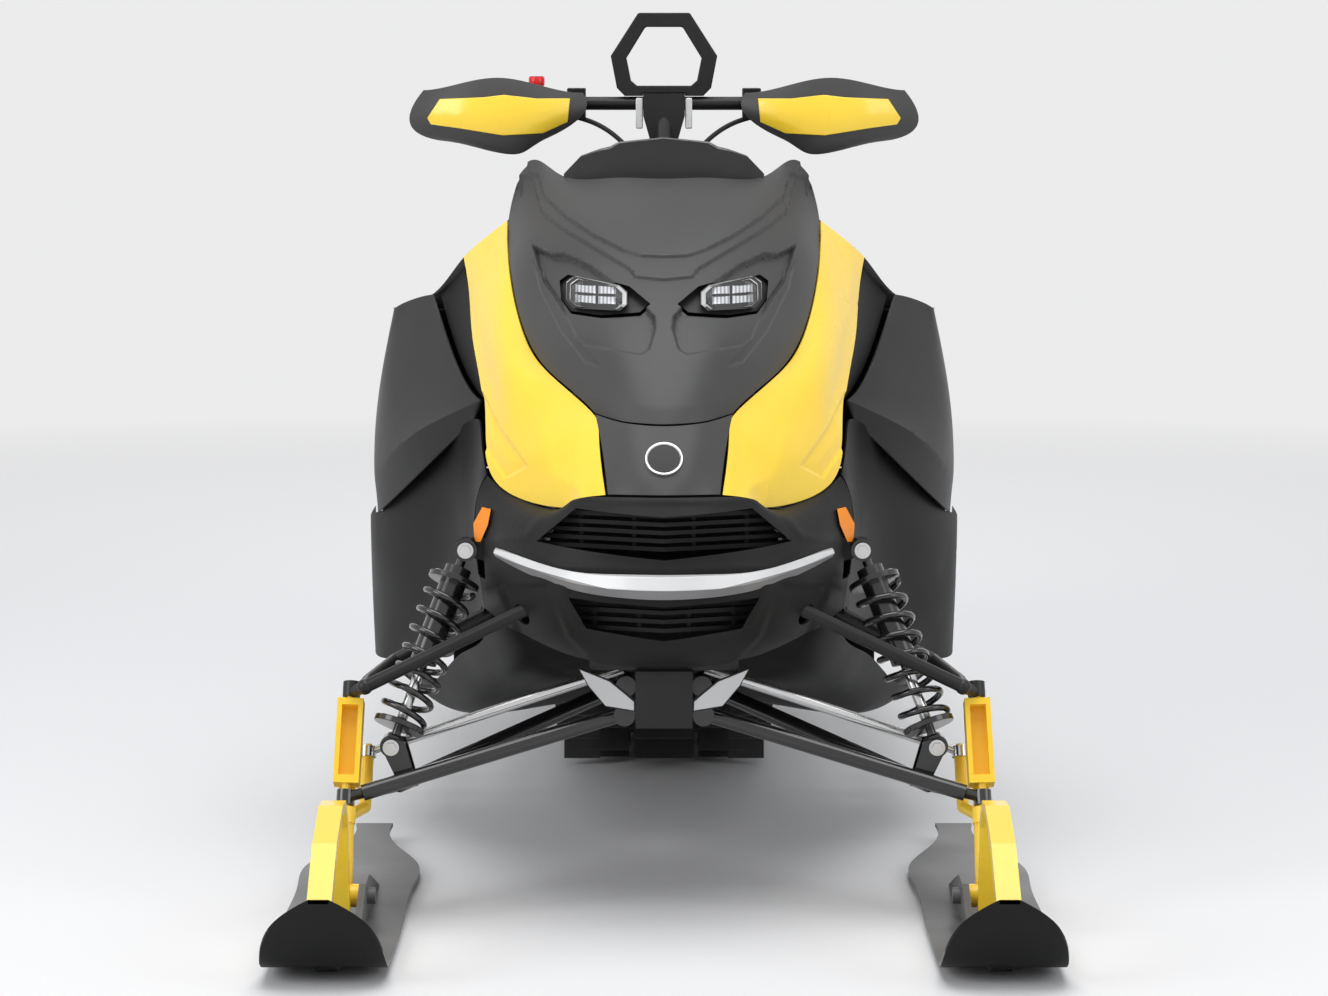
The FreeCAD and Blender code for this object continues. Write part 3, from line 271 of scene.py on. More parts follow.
NOISE = "ShaderNodeTexNoise"
CELLS = "ShaderNodeTexVoronoi"
PATTERNS = {
    "grain": pattern_group("moulded_grain", 300.0, {"Scale": 6.0, "Detail": 4.0}, NOISE, {"Detail": 2.0}),
    "brushed": pattern_group("brushed_sheet", 90.0, {"Scale": 3.0}, NOISE, {"Detail": 3.0},
                             stretch=(1.0, 0.03, 1.0)),
    "pebble": pattern_group("pebbled_skin", 220.0, {"Scale": 9.0, "Detail": 5.0}, CELLS, {},
                            feature="SMOOTH_F1"),
}
print("pattern groups:", ", ".join(PATTERNS))

# %% [markdown]
# A finish joins one pattern to one shader: the slow tone moves the colour and the gloss a little, and the
# fine height feeds a bump. What is the same all over, such as how metallic it is or how much clear coat it
# has, is set on the shader itself.

# %% Finishes
TONE_ENDS = (0.35, 0.65)
COAT_ROUGHNESS = 0.08


def add_finish(name, colors, gloss, pattern, size, depth, metal=0.0, coat=0.0, sheen=0.0, shine=0.5):
    """colors and gloss are pairs: the colour and the roughness at the two ends of the slow tone."""
    material, tree, shader = new_tree(name)
    group = tree.nodes.new("ShaderNodeGroup")
    group.node_tree = PATTERNS[pattern]
    group.inputs["Size"].default_value = size
    tone = add_node(tree, "ShaderNodeMapRange", {"From Min": TONE_ENDS[0], "From Max": TONE_ENDS[1]})
    ends = {"A": (*colors[0], 1), "B": (*colors[1], 1)}
    color = add_node(tree, "ShaderNodeMix", ends, data_type="RGBA")
    rough = add_node(tree, "ShaderNodeMapRange", {"To Min": gloss[0], "To Max": gloss[1]})
    bump = add_node(tree, "ShaderNodeBump", {"Strength": 1.0, "Distance": depth})
    wire(tree, (group, "Tone", tone, "Value"), (tone, "Result", color, "Factor"),
         (tone, "Result", rough, "Value"), (color, "Result", shader, "Base Color"),
         (rough, "Result", shader, "Roughness"), (group, "Height", bump, "Height"),
         (bump, "Normal", shader, "Normal"))
    fill(shader, {"Metallic": metal, "Specular IOR Level": shine, "Coat Weight": coat,
                  "Coat Roughness": COAT_ROUGHNESS, "Sheen Weight": sheen})
    return material


def grey(value, warmth=0.0):
    return (value + warmth, value, value - warmth)


FINISH_TABLE = [
    ("hood_grey", (grey(0.046), grey(0.056)), (0.40, 0.48), "grain", 900, 0.00006, {"shine": 0.35}),
    ("side_grey", (grey(0.028), grey(0.036)), (0.42, 0.52), "grain", 900, 0.00006, {"shine": 0.3}),
    ("black_plastic", (grey(0.007), grey(0.011)), (0.42, 0.55), "grain", 700, 0.00012, {"shine": 0.2}),
    ("gloss_black", (grey(0.008), grey(0.012)), (0.16, 0.24), "grain", 200, 0.00001, {"coat": 0.5}),
    ("yellow_paint", ((1.0, 0.66, 0.035), (1.0, 0.70, 0.05)), (0.24, 0.30), "grain", 120, 0.000015,
     {"coat": 0.35}),
    ("amber_lens", ((1.0, 0.25, 0.0), (1.0, 0.30, 0.004)), (0.35, 0.42), "pebble", 260, 0.0002,
     {"shine": 0.25}),
    ("red_lens", ((0.55, 0.005, 0.008), (0.65, 0.01, 0.01)), (0.15, 0.2), "pebble", 240, 0.0004,
     {"coat": 0.6}),
    ("silver_trim", (grey(0.62), grey(0.70)), (0.28, 0.34), "grain", 500, 0.00002, {"coat": 0.3}),
    ("aluminium", (grey(0.48, -0.005), grey(0.58, -0.005)), (0.32, 0.45), "brushed", 400, 0.00005,
     {"metal": 1.0}),
    ("bright_steel", (grey(0.60), grey(0.70)), (0.18, 0.28), "brushed", 500, 0.00002, {"metal": 1.0}),
    ("black_steel", (grey(0.010), grey(0.014)), (0.34, 0.42), "grain", 450, 0.00006, {"shine": 0.35}),
    ("yellow_metal", ((1.0, 0.62, 0.03), (1.0, 0.66, 0.04)), (0.30, 0.38), "grain", 300, 0.00004, {}),
    ("track_rubber", (grey(0.012), grey(0.020)), (0.62, 0.78), "pebble", 350, 0.0004, {}),
    ("seat_cover", (grey(0.014), grey(0.020)), (0.50, 0.62), "pebble", 520, 0.0003, {"sheen": 0.15}),
    ("grip_rubber", (grey(0.010), grey(0.014)), (0.58, 0.70), "pebble", 600, 0.0002, {"shine": 0.3}),
    ("ski_plastic", (grey(0.095), grey(0.115)), (0.42, 0.55), "grain", 350, 0.0001, {}),
    ("red_cap", ((0.75, 0.01, 0.01), (0.85, 0.015, 0.012)), (0.25, 0.32), "grain", 400, 0.00003, {}),
]
FINISHES = {name: add_finish(name, *values, **extra) for name, *values, extra in FINISH_TABLE}
print("finishes:", len(FINISHES))

# %% [markdown]
# Every solid of the frame comes in with the name of its material slot. The finish of the same name goes on
# it, so that the scene and the record agree. A few plastic pieces get a paler grey as painted light where
# daylight reaches them, and the engine block and the front frame get a dark finish as painted shade, because
# they sit deep inside. The bodies of the lamps are plain plastic; their glass comes later.

# %% Finishes on the frame's own pieces
slot_of = {part["node"]: part["material_slot"] for part in frame["record"]["subparts"]}


def paint(mesh, finish):
    """Gives a mesh one finish: a material, or the name of one of those above."""
    mesh.materials.clear()
    mesh.materials.append(finish if isinstance(finish, bpy.types.Material) else FINISHES[finish])


for node in nodes:
    slot = slot_of[node]
    paint(nodes[node].data, "side_grey" if slot == "lamp_glass" else slot)
# Painted light: these pieces get a paler grey because daylight reaches them.
for node in ("console", "gauge_pod", "fuel_tank"):
    paint(nodes[node].data, "side_grey")
# Painted shade: these sit deep inside, so they get a dark finish.
for node in ("engine_block", "bulkhead"):
    paint(nodes[node].data, "black_steel")
print("nodes finished:", len(nodes))

# %% [markdown]
# The frame's panels are right in size but smooth. A moulded panel has steps, pockets and creases, which a
# bump alone can't give a clean edge. So each panel is copied, its edges rounded, its triangles made small,
# and its points pressed towards the machine's core by a depth that is drawn over the photograph.

# %% Tools for shaping panels
WELD = 0.00001
NEEDLE = 0.0008
CORE = np.array((0.0, -0.45, 0.64))
SHARP = math.radians(40)
PANEL_ANGLE = math.radians(55)
PLATE_ANGLE = math.radians(30)
HALVINGS = 8
SIDES = (-1, 1)
body_of = {node: body for body, names in frame["record"]["behaviour"]["bodies"].items() for node in names}


def round_edges(obj, width, angle):
    bevel = obj.modifiers.new("rounded_edge", "BEVEL")
    bevel.width = width
    bevel.segments = 2
    bevel.angle_limit = angle


def add_piece(obj, body, slot, *replaced):
    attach(obj, body)
    if replaced:
        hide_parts(*replaced)


def shade_smooth(mesh):
    mesh.polygons.foreach_set("use_smooth", [True] * len(mesh.polygons))
    mesh.update()


def mesh_from(shape, name, finish):
    """Turns mesh-editing data into a smooth-shaded object with sharp creases."""
    mesh = bpy.data.meshes.new(name)
    shape.to_mesh(mesh)
    shape.free()
    if "custom_normal" in mesh.attributes:
        mesh.attributes.remove(mesh.attributes["custom_normal"])
    shade_smooth(mesh)
    mesh.set_sharp_from_angle(angle=SHARP)
    paint(mesh, finish)
    return link(bpy.data.objects.new(name, mesh))


def closed_mesh(shape, name, finish):
    """The same, once every face has been turned outwards."""
    bmesh.ops.recalc_face_normals(shape, faces=shape.faces)
    return mesh_from(shape, name, finish)


def welded(node):
    shape = bmesh.new()
    shape.from_mesh(nodes[node].data)
    bmesh.ops.remove_doubles(shape, verts=shape.verts, dist=WELD)
    return shape


def cut_finer(shape, longest, near=None):
    """Halves every edge that is too long, or only those near the lines that a panel is pressed along."""
    for _ in range(HALVINGS):
        long_edges = [edge for edge in shape.edges if edge.calc_length() > longest]
        if near and long_edges:
            middles = np.array([(edge.verts[0].co + edge.verts[1].co) / 2 for edge in long_edges])
            wanted = near(*photo_place(middles))
            long_edges = [edge for edge, keep in zip(long_edges, wanted) if keep]
        if not long_edges:
            break
        bmesh.ops.subdivide_edges(shape, edges=long_edges, cuts=1)
        bmesh.ops.triangulate(shape, faces=[face for face in shape.faces if len(face.verts) > 3])
    bmesh.ops.remove_doubles(shape, verts=shape.verts, dist=min(longest / 8, NEEDLE))
    flat = [edge for edge in shape.edges if edge.is_manifold and edge.calc_face_angle(0) < SHARP / 3]
    bmesh.ops.beautify_fill(shape, faces=shape.faces, edges=flat, method="ANGLE")
    bmesh.ops.dissolve_degenerate(shape, dist=NEEDLE / 4, edges=shape.edges)


def even_out(shape, rounds):
    """Takes the flat facets out of a curved face and leaves its edges where they are."""
    inner = [v for v in shape.verts if all(edge.calc_face_angle(0) < SHARP / 2 for edge in v.link_edges)]
    for _ in range(rounds):
        bmesh.ops.smooth_vert(shape, verts=inner, factor=0.5, use_axis_x=True, use_axis_y=True,
                              use_axis_z=True)


def points_of(mesh):
    flat = np.empty(len(mesh.vertices) * 3)
    mesh.vertices.foreach_get("co", flat)
    return flat.reshape(-1, 3)


def put_points(mesh, points):
    mesh.vertices.foreach_set("co", points.ravel())
    mesh.update()


def press_in(obj, depth_of):
    """Moves each point towards the core by a depth in metres, given its place in the photograph."""
    points = points_of(obj.data)
    right, down = photo_place(points)
    inward = CORE - points
    inward /= np.linalg.norm(inward, axis=1)[:, None]
    put_points(obj.data, points + inward * depth_of(right, down)[:, None])


def shaped_panel(node, name, finish, depth_of=None, longest=0.009, edge=0.001, rounds=4, near=None):
    shape = welded(node)
    cut_finer(shape, longest)
    even_out(shape, rounds)
    if near:
        cut_finer(shape, longest / 3, near)
    obj = mesh_from(shape, name, finish)
    if depth_of:
        press_in(obj, depth_of)
    round_edges(obj, edge, PANEL_ANGLE)
    add_piece(obj, body_of[node], slot_of[node], node)
    print(name, len(obj.data.polygons), "faces")


# %% [markdown]
# The hood is one moulding with a raised visor at its top, a band below it, two sunk pockets round the
# lamps under a strong brow, and a chin that turns under. The lines are the photograph's own, drawn for the
# left half. Modelling each facet as its own patch would give crisper corners, but their borders would show.

# %% Hood
VISOR_LINE = [(541, 179), (547, 201), (568, 221), (595, 239), (625, 254), (641, 259), (665, 260)]
BAND_LINE = [(530, 168), (544, 215), (566, 232), (603, 254), (630, 270), (636, 278), (665, 281)]
POCKET = [(531, 243), (542, 281), (553, 296), (566, 318), (575, 338), (586, 346), (641, 355), (650, 349),
          (656, 328), (655, 316), (645, 305), (619, 285), (588, 263), (564, 252), (551, 253)]
BROW_LINE = [(531, 241), (551, 253), (564, 252), (588, 263), (619, 285), (645, 305), (655, 316), (665, 318)]
WING = [(533, 261), (560, 300), (575, 338), (600, 366), (585, 362), (560, 330), (540, 290)]
CHIN_LINE = [(560, 392), (595, 399), (630, 405), (665, 408)]
CHEEK_LINE = [(520, 322), (523, 346), (536, 350), (560, 372), (595, 396)]
CHEEK_EDGE = 530
HOOD_NEAR = 3.5
STEP = 0.005
POCKET_DEPTH = 0.011
BROW_DEPTH = 0.006
WING_DEPTH = 0.003
CHIN_DEPTH = 0.006
CHEEK_DEPTH = 0.002


def hood_depth(right, down):
    """Metres; the last number of each soft_step is the width of that step in the photograph's pixels."""
    depth = -STEP * (1 - soft_step(below_line(right, down, VISOR_LINE), 2))
    depth -= STEP * (1 - soft_step(below_line(right, down, BAND_LINE), 2.5))
    inside = from_outline(right, down, POCKET)
    under_brow = np.clip(below_line(right, down, BROW_LINE) / 70, 0, 1)
    depth += soft_step(inside - 1, 2.5) * (POCKET_DEPTH - BROW_DEPTH * under_brow)
    depth += WING_DEPTH * soft_step(from_outline(right, down, WING), 3)
    depth += CHIN_DEPTH * np.clip(below_line(right, down, CHIN_LINE) / 20, 0, 1)
    side = 1 - soft_step(left_half(right) - CHEEK_EDGE, 8)
    return depth + CHEEK_DEPTH * side * soft_step(below_line(right, down, CHEEK_LINE), 3)


def near_hood_lines(right, down):
    distance = np.abs(below_line(right, down, VISOR_LINE))
    distance = np.minimum(distance, np.abs(below_line(right, down, BAND_LINE)))
    for outline in (POCKET, WING):
        distance = np.minimum(distance, np.abs(from_outline(right, down, outline)))
    return distance < HOOD_NEAR


shaped_panel("hood", "hood_shell", "hood_grey", hood_depth, longest=0.0085, near=near_hood_lines)

# %% [markdown]
# The yellow bands run from the visor down to the nose, each with a crease that starts below its outer
# tooth and dies out on the lower cheek. The crease is pressed into the mesh along its outline, because a
# bump in the material alone would not catch the light at the edge of the panel. The grey plate between
# them is plain, with rounded edges.

# %% Yellow bands and nose
CREASE = [(482, 392), (500, 428), (527, 466), (505, 478), (478, 440)]
CREASE_REACH = 22
CREASE_NEAR = 4
FACET_DEPTH = 0.003
NOSE_FACET = [(544, 428), (567, 498), (594, 500), (588, 400), (560, 400)]


def band_depth(right, down):
    crease = from_outline(right, down, CREASE)
    depth = STEP * soft_step(crease, 3) * np.clip(1 - crease / CREASE_REACH, 0, 1)
    return depth + FACET_DEPTH * soft_step(from_outline(right, down, NOSE_FACET), 14)


def near_crease(right, down):
    return np.abs(from_outline(right, down, CREASE)) < CREASE_NEAR


shaped_panel("fairing_panels", "yellow_bands", "yellow_paint", band_depth, longest=0.008, rounds=6,
             near=near_crease)
shaped_panel("nose_cover", "nose_plate", "hood_grey", longest=0.008)

# %% [markdown]
# Below the nose a black shell carries the grilles. Its openings have a raised lip, and on each side a
# facet runs from the bumper down to the keel.

# %% Nose shell and sides
UPPER_OPENING = [(553, 500), (527, 536), (500, 540), (560, 566), (670, 572), (670, 500)]
LOWER_OPENING = [(560, 586), (577, 623), (670, 642), (670, 590)]
LIP_HEIGHT = 0.003
LIP_WIDTH = 4
KEEL_DEPTH = 0.004
SHELL_FACET = [(547, 584), (567, 637), (600, 670), (520, 640), (500, 590)]


def shell_depth(right, down):
    depth = KEEL_DEPTH * soft_step(from_outline(right, down, SHELL_FACET), 8)
    for opening in (UPPER_OPENING, LOWER_OPENING):
        depth -= LIP_HEIGHT * np.exp(-np.square(from_outline(right, down, opening) / LIP_WIDTH))
    return depth


shaped_panel("nose_shell", "nose_moulding", "black_plastic", shell_depth, longest=0.008)
shaped_panel("side_panels", "side_covers", "side_grey", longest=0.012, rounds=6)
shaped_panel("lower_side_panels", "lower_side_covers", "black_plastic", longest=0.014, rounds=6)
shaped_panel("vent_panels", "side_vents", "black_plastic", longest=0.012)
shaped_panel("console", "dash_cover", "side_grey", longest=0.014, rounds=6)

# %% [markdown]
# The screen housing stands behind the visor. The sunk screen is pressed in with the same tool, along its
# outline in the photograph.

# %% Gauge pod
SCREEN = [(575, 182), (577, 164), (610, 145), (670, 141), (670, 190), (600, 190)]
SCREEN_DEPTH = 0.004


def pod_depth(right, down):
    return SCREEN_DEPTH * soft_step(from_outline(right, down, SCREEN), 4)


shaped_panel("gauge_pod", "screen_housing", "side_grey", pod_depth, longest=0.009, edge=0.002)

# %% [markdown]
# The bumper is a white moulding whose lower face turns to a darker grey. The two tones part along a line
# that rises towards the ends, so the material mixes them by height above that line.

# %% Front bumper
BUMPER_PARTING = (0.513, 0.541)
BUMPER_SPREAD = (0.08, 0.25)


def two_tone_paint():
    material = add_finish("bumper_paint", (grey(0.66), grey(0.72)), (0.28, 0.34), "grain", 500, 0.00002,
                          coat=0.3)
    tree = material.node_tree
    shader = tree.nodes["Principled BSDF"]
    upper = shader.inputs["Base Color"].links[0].from_socket
    place = tree.nodes.new("ShaderNodeTexCoord")
    parts = tree.nodes.new("ShaderNodeSeparateXYZ")
    across = add_node(tree, "ShaderNodeMath", operation="ABSOLUTE")
    line = tree.nodes.new("ShaderNodeMapRange")
    fill(line, dict(zip(("From Min", "From Max"), BUMPER_SPREAD)))
    fill(line, dict(zip(("To Min", "To Max"), BUMPER_PARTING)))
    above = add_node(tree, "ShaderNodeMath", operation="GREATER_THAN")
    mix = add_node(tree, "ShaderNodeMix", {"A": (0.20, 0.20, 0.205, 1)}, data_type="RGBA")
    wire(tree, (place, "Object", parts, 0), (parts, "X", across, 0), (across, 0, line, "Value"),
         (parts, "Z", above, 0), (line, "Result", above, 1), (above, 0, mix, "Factor"))
    tree.links.new(upper, mix.inputs["B"])
    wire(tree, (mix, "Result", shader, "Base Color"))
    return material


shaped_panel("front_bumper", "bumper_bar", two_tone_paint(), longest=0.012, edge=0.003)

# %% [markdown]
# Hand guards are thin dark shells with a yellow insert clipped on. They and the strap loop on the bar only
# need rounded edges, since the curve is already in the frame.

# %% Hand guards
shaped_panel("hand_guards", "guard_shells", "hood_grey", longest=0.009, edge=0.0015)
shaped_panel("guard_inserts", "guard_plates", "yellow_paint", longest=0.009, edge=0.0012)
shaped_panel("mountain_strap", "strap_loop", "grip_rubber", longest=0.02, edge=0.005, rounds=0)

# %% [markdown]
# Each lamp sits in its pocket: a chromed rim with cut corners, four bright blocks behind it and a clear
# cover. The rim follows one outline, laid on the frame's lamp by looking along the machine, so it stays
# seated on what carries it.

# %% Headlights
LENS_OUTLINE = [(0.055, 0.900), (0.055, 0.917), (0.067, 0.927), (0.136, 0.937), (0.149, 0.927),
                (0.149, 0.902), (0.138, 0.892), (0.066, 0.891)]
RIM_SHARE = 0.84
RIM_PROUD = 0.006
RIM_RINGS = [(1.0, 0.001), (0.97, RIM_PROUD), (RIM_SHARE, RIM_PROUD - 0.001), (RIM_SHARE, 0.0)]
COVER_THICK = 0.002
FAR_AHEAD = -3
FORWARD = Vector((0, 1, 0))
COVER_PROUD = 0.004
LED_PROUD = 0.0015
LED_TAPER = 0.8


def surface_tree(*names):
    """One search tree over several frame pieces, to find where a straight line meets them."""
    shape = bmesh.new()
    for name in names:
        shape.from_mesh(nodes[name].data)
    tree = BVHTree.FromBMesh(shape)
    shape.free()
    return tree


def laid_on(tree, x, z, proud):
    hit = tree.ray_cast(Vector((x, FAR_AHEAD, z)), FORWARD)
    return Vector((x, hit[0].y - proud, z))


def inset(outline, share):
    cx = sum(x for x, z in outline) / len(outline)
    cz = sum(z for x, z in outline) / len(outline)
    return [(cx + (x - cx) * share, cz + (z - cz) * share) for x, z in outline]


def bridge(shape, near, far):
    for i in range(len(near)):
        j = (i + 1) % len(near)
        shape.faces.new((near[i], near[j], far[j], far[i]))


def on_side(shape, side, points):
    """New mesh points, mirrored for the lamp on the right."""
    return [shape.verts.new((side * p.x, p.y, p.z)) for p in points]


def lamp_plane(tree, outline, proud):
    """The outline laid on the lamp, then made flat through its own middle so that the cover is plane."""
    laid = [laid_on(tree, x, z, proud) for x, z in outline]
    centre = sum(laid, Vector()) / len(laid)
    across = max(laid, key=lambda p: p.x) - min(laid, key=lambda p: p.x)
    rise = max(laid, key=lambda p: p.z) - min(laid, key=lambda p: p.z)
    normal = across.cross(rise).normalized()
    for p in laid:
        p.y -= (p - centre).dot(normal) / normal.y
    return laid


def make_rims(tree):
    shape = bmesh.new()
    for side in SIDES:
        rings = []
        for share, proud in RIM_RINGS:
            rings.append(on_side(shape, side, lamp_plane(tree, inset(LENS_OUTLINE, share), proud)))
        for near, far in zip(rings, rings[1:] + rings[:1]):
            bridge(shape, near, far)
    return closed_mesh(shape, "lamp_rims", "silver_trim")


def make_covers(tree):
    shape = bmesh.new()
    for side in SIDES:
        faces = []
        for proud in (COVER_PROUD, COVER_PROUD - COVER_THICK):
            laid = lamp_plane(tree, inset(LENS_OUTLINE, RIM_SHARE + 0.01), proud)
            faces.append(on_side(shape, side, laid))
            shape.faces.new(faces[-1])
        bridge(shape, *faces)
    return closed_mesh(shape, "lamp_covers", clear_plastic())


def clear_plastic():
    material, _, shader = new_tree("clear_plastic")
    fill(shader, {"Base Color": (0.95, 0.96, 0.97, 1), "Roughness": 0.04, "IOR": 1.35,
                  "Transmission Weight": 1.0})
    return material


def glow():
    material, tree, shader = new_tree("lamp_glow")
    lines = add_node(tree, "ShaderNodeTexWave", {"Scale": 55.0})
    place = tree.nodes.new("ShaderNodeTexCoord")
    mix = add_node(tree, "ShaderNodeMix",
                   {"A": (0.35, 0.36, 0.38, 1), "B": (0.80, 0.82, 0.85, 1)}, data_type="RGBA")
    wire(tree, (place, "Object", lines, "Vector"), (lines, "Fac", mix, "Factor"),
         (mix, "Result", shader, "Base Color"))
    fill(shader, {"Roughness": 0.2, "Metallic": 0.6})
    return material


LED_BLOCKS = [(0.072, 0.099), (0.103, 0.134)]
LED_HEIGHTS = [(0.900, 0.911), (0.914, 0.925)]


def rectangle(x0, x1, z0, z1):
    return [(x0, z0), (x1, z0), (x1, z1), (x0, z1)]


def make_leds(tree):
    shape = bmesh.new()
    for side in SIDES:
        for x0, x1 in LED_BLOCKS:
            for z0, z1 in LED_HEIGHTS:
                outline = rectangle(x0, x1, z0, z1)
                back = on_side(shape, side, [laid_on(tree, x, z, 0.0) for x, z in outline])
                top = [laid_on(tree, x, z, LED_PROUD) for x, z in inset(outline, LED_TAPER)]
                front = on_side(shape, side, top)
                shape.faces.new(front)
                bridge(shape, back, front)
    return closed_mesh(shape, "lamp_blocks", glow())


lamp_tree = surface_tree("headlights")
for lamp_piece in (make_rims(lamp_tree), make_covers(lamp_tree), make_leds(lamp_tree)):
    add_piece(lamp_piece, "root", "lamp_glass")
print("lamp pieces: 3")

# %% [markdown]
# Small round things: the plain cap on the nose, and the red cap of the stop switch. Each is one profile
# turned about its axis, which keeps the rim's rounding in one short list.

# %% Turned caps
def turned_cap(name, profile, place, axis, finish, steps=40):
    """profile holds (radius, height) pairs from the foot to the top; the axis points out of the cap."""
    shape = bmesh.new()
    turn = Vector((0, 0, 1)).rotation_difference(Vector(axis)).to_matrix().to_4x4()
    where = Matrix.Translation(place) @ turn
    rings = []
    for radius, height in profile:
        angles = [2 * math.pi * i / steps for i in range(steps)]
        spots_round = [Vector((radius * math.cos(a), radius * math.sin(a), height)) for a in angles]
        rings.append([shape.verts.new(where @ spot) for spot in spots_round])
    for near, far in zip(rings, rings[1:]):
        bridge(shape, near, far)
    shape.faces.new(rings[0])
    shape.faces.new(rings[-1])
    return closed_mesh(shape, name, finish)


CAP_RADIUS = 0.028
CAP_HEIGHT = 0.690
nose_tree = surface_tree("nose_cover", "hood", "nose_shell")
cap_place, cap_aim = nose_tree.ray_cast(Vector((0, FAR_AHEAD, CAP_HEIGHT)), FORWARD)[:2]
cap_aim = Vector((0, cap_aim.y, cap_aim.z)).normalized()
cap_aim = cap_aim if cap_aim.y < 0 else -cap_aim
RIM_PROFILE = [(1.0, -0.002), (1.0, 0.003), (0.96, 0.0045), (0.90, 0.0045), (0.86, 0.003)]
FACE_PROFILE = [(0.855, -0.002), (0.855, 0.0030), (0.50, 0.0036), (0.10, 0.0038)]
CAP_PARTS = [("cap_rim", RIM_PROFILE, "bright_steel"), ("cap_face", FACE_PROFILE, "side_grey")]
for name, profile, finish in CAP_PARTS:
    cap = turned_cap(name, [(r * CAP_RADIUS, h) for r, h in profile], cap_place, cap_aim, finish)
    add_piece(cap, "root", "silver_trim")
SWITCH_PLACE = (-0.208, -0.304, 1.220)
SWITCH_PROFILE = [(0.0125, 0), (0.0130, 0.002), (0.0130, 0.012), (0.0118, 0.0145), (0.004, 0.0150)]
switch = turned_cap("stop_switch_cap", SWITCH_PROFILE, SWITCH_PLACE, (0, 0, 1), "red_cap", steps=24)
add_piece(switch, "steering", "black_plastic")
print("caps: 3")

# %% [markdown]
# Small plates and blocks dress the bare frame: aluminium faces on the front brackets, silver cheeks beside
# the riser, lever clamps on the bar, and dark walls in the nose and behind the lamps, so that nobody sees
# through the machine; these walls are painted shade that stands for the dark inside of the nose. The lower
# faces of the skis' raised tips are black, as a thin skin over the grey moulding.

# %% Plates, clamps and ski tips
def plate(name, outline, y0, y1, finish, sides):
    """A flat piece with its outline in X and Z, once for each side."""
    shape = bmesh.new()
    for side in sides:
        near, far = [[shape.verts.new((side * x, y, z)) for x, z in outline] for y in (y0, y1)]
        shape.faces.new(near)
        shape.faces.new(far)
        bridge(shape, near, far)
    obj = closed_mesh(shape, name, finish)
    round_edges(obj, min(0.002, abs(y1 - y0) / 3), PLATE_ANGLE)
    return obj


def tip_skin(node, name):
    """The lower face of a ski's raised tip, moved a little ahead but kept inside the frame's box."""
    shape = welded(node)
    shape.normal_update()
    rest = [f for f in shape.faces
            if f.normal.y > TIP_FACING or f.normal.z > 0.1 or f.calc_center_median().y > TIP_START]
    bmesh.ops.delete(shape, geom=rest, context="FACES")
    for vert in shape.verts:
        vert.co.y = max(vert.co.y - SKIN_LIFT, cad_low[1])
    return mesh_from(shape, name, "black_plastic")


SKIN_LIFT = 0.0006
TIP_START = -1.3
TIP_FACING = -0.25
BRACKET = [(0.044, 0.327), (0.080, 0.357), (0.124, 0.375), (0.111, 0.351), (0.086, 0.321), (0.044, 0.314)]
# Painted shade: black sheets in the nose behind the grilles and behind the lamps, where the inside is only in
# shade.
NOSE_SHADE_WALL = rectangle(0.202, 0.335, 0.31, 0.62)
LAMP_SHADE_WALL = rectangle(-0.235, 0.235, 0.76, 0.985)
CHEEK = rectangle(0.0345, 0.046, 1.150, 1.200)
CLAMP = rectangle(0.128, 0.158, 1.164, 1.216)
PLATES = [
    ("bracket_faces", BRACKET, -1.0692, -1.0681, "aluminium", SIDES, "root"),
    # The next two rows are the painted-shade walls.
    ("nose_shade_walls", NOSE_SHADE_WALL, -0.574, -0.570, "black_plastic", SIDES, "root"),
    ("lamp_shade_backing", LAMP_SHADE_WALL, -0.574, -0.570, "black_plastic", (1,), "root"),
    ("riser_cheeks", CHEEK, -0.322, -0.280, "silver_trim", SIDES, "steering"),
    ("lever_clamps", CLAMP, -0.330, -0.276, "black_plastic", SIDES, "steering"),
]
for name, outline, y0, y1, finish, sides, body in PLATES:
    add_piece(plate(name, outline, y0, y1, finish, sides), body, finish)
for side in ("left", "right"):
    add_piece(tip_skin("ski_" + side, "ski_tip_" + side), "ski_" + side, "black_plastic")
print("plates and skins:", len(PLATES) + 2)

# %% [markdown]
# The saddle is foam under a stretched vinyl cover. A block with rounded edges would look like wood, so the
# block is remeshed, blown up a little as cloth with air pressure, and held back so that it can't swell far.
# Its seams come afterwards, as a piping line pressed in along each shoulder and three channels across it.

# %% Seat
SEAT_VOXEL = 0.007
SEAT_SHRINK = 0.008
SEAT_SINK = 0.8
SEAT_SWELL = 0.010
SEAT_FRAMES = 20
SEAT_PRESSURE = 4.0
PIPING_DROP = 0.055
GROOVE_WIDTH = 0.004
GROOVE_DEPTH = 0.005
CHANNELS = (0.16, 0.30, 0.44)
SHOULDER_X = 0.09
TOP_BEND = 0.15
TOP_DROP = 0.02
REAR_TOP = 0.755
seat_low, seat_high = (np.array(corner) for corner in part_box("seat"))


def seat_block():
    shape = welded("seat")
    obj = closed_mesh(shape, "saddle", "seat_cover")
    points = points_of(obj.data)
    middle = (seat_low + seat_high) / 2
    half = (seat_high - seat_low) / 2
    shrink = (half - SEAT_SHRINK) / half
    points = middle + (points - middle) * shrink
    points[:, 2] -= SEAT_SHRINK * SEAT_SINK
    put_points(obj.data, points)
    return obj


def apply_modifiers(obj):
    depsgraph = bpy.context.evaluated_depsgraph_get()
    mesh = bpy.data.meshes.new_from_object(obj.evaluated_get(depsgraph))
    obj.modifiers.clear()
    obj.data = mesh


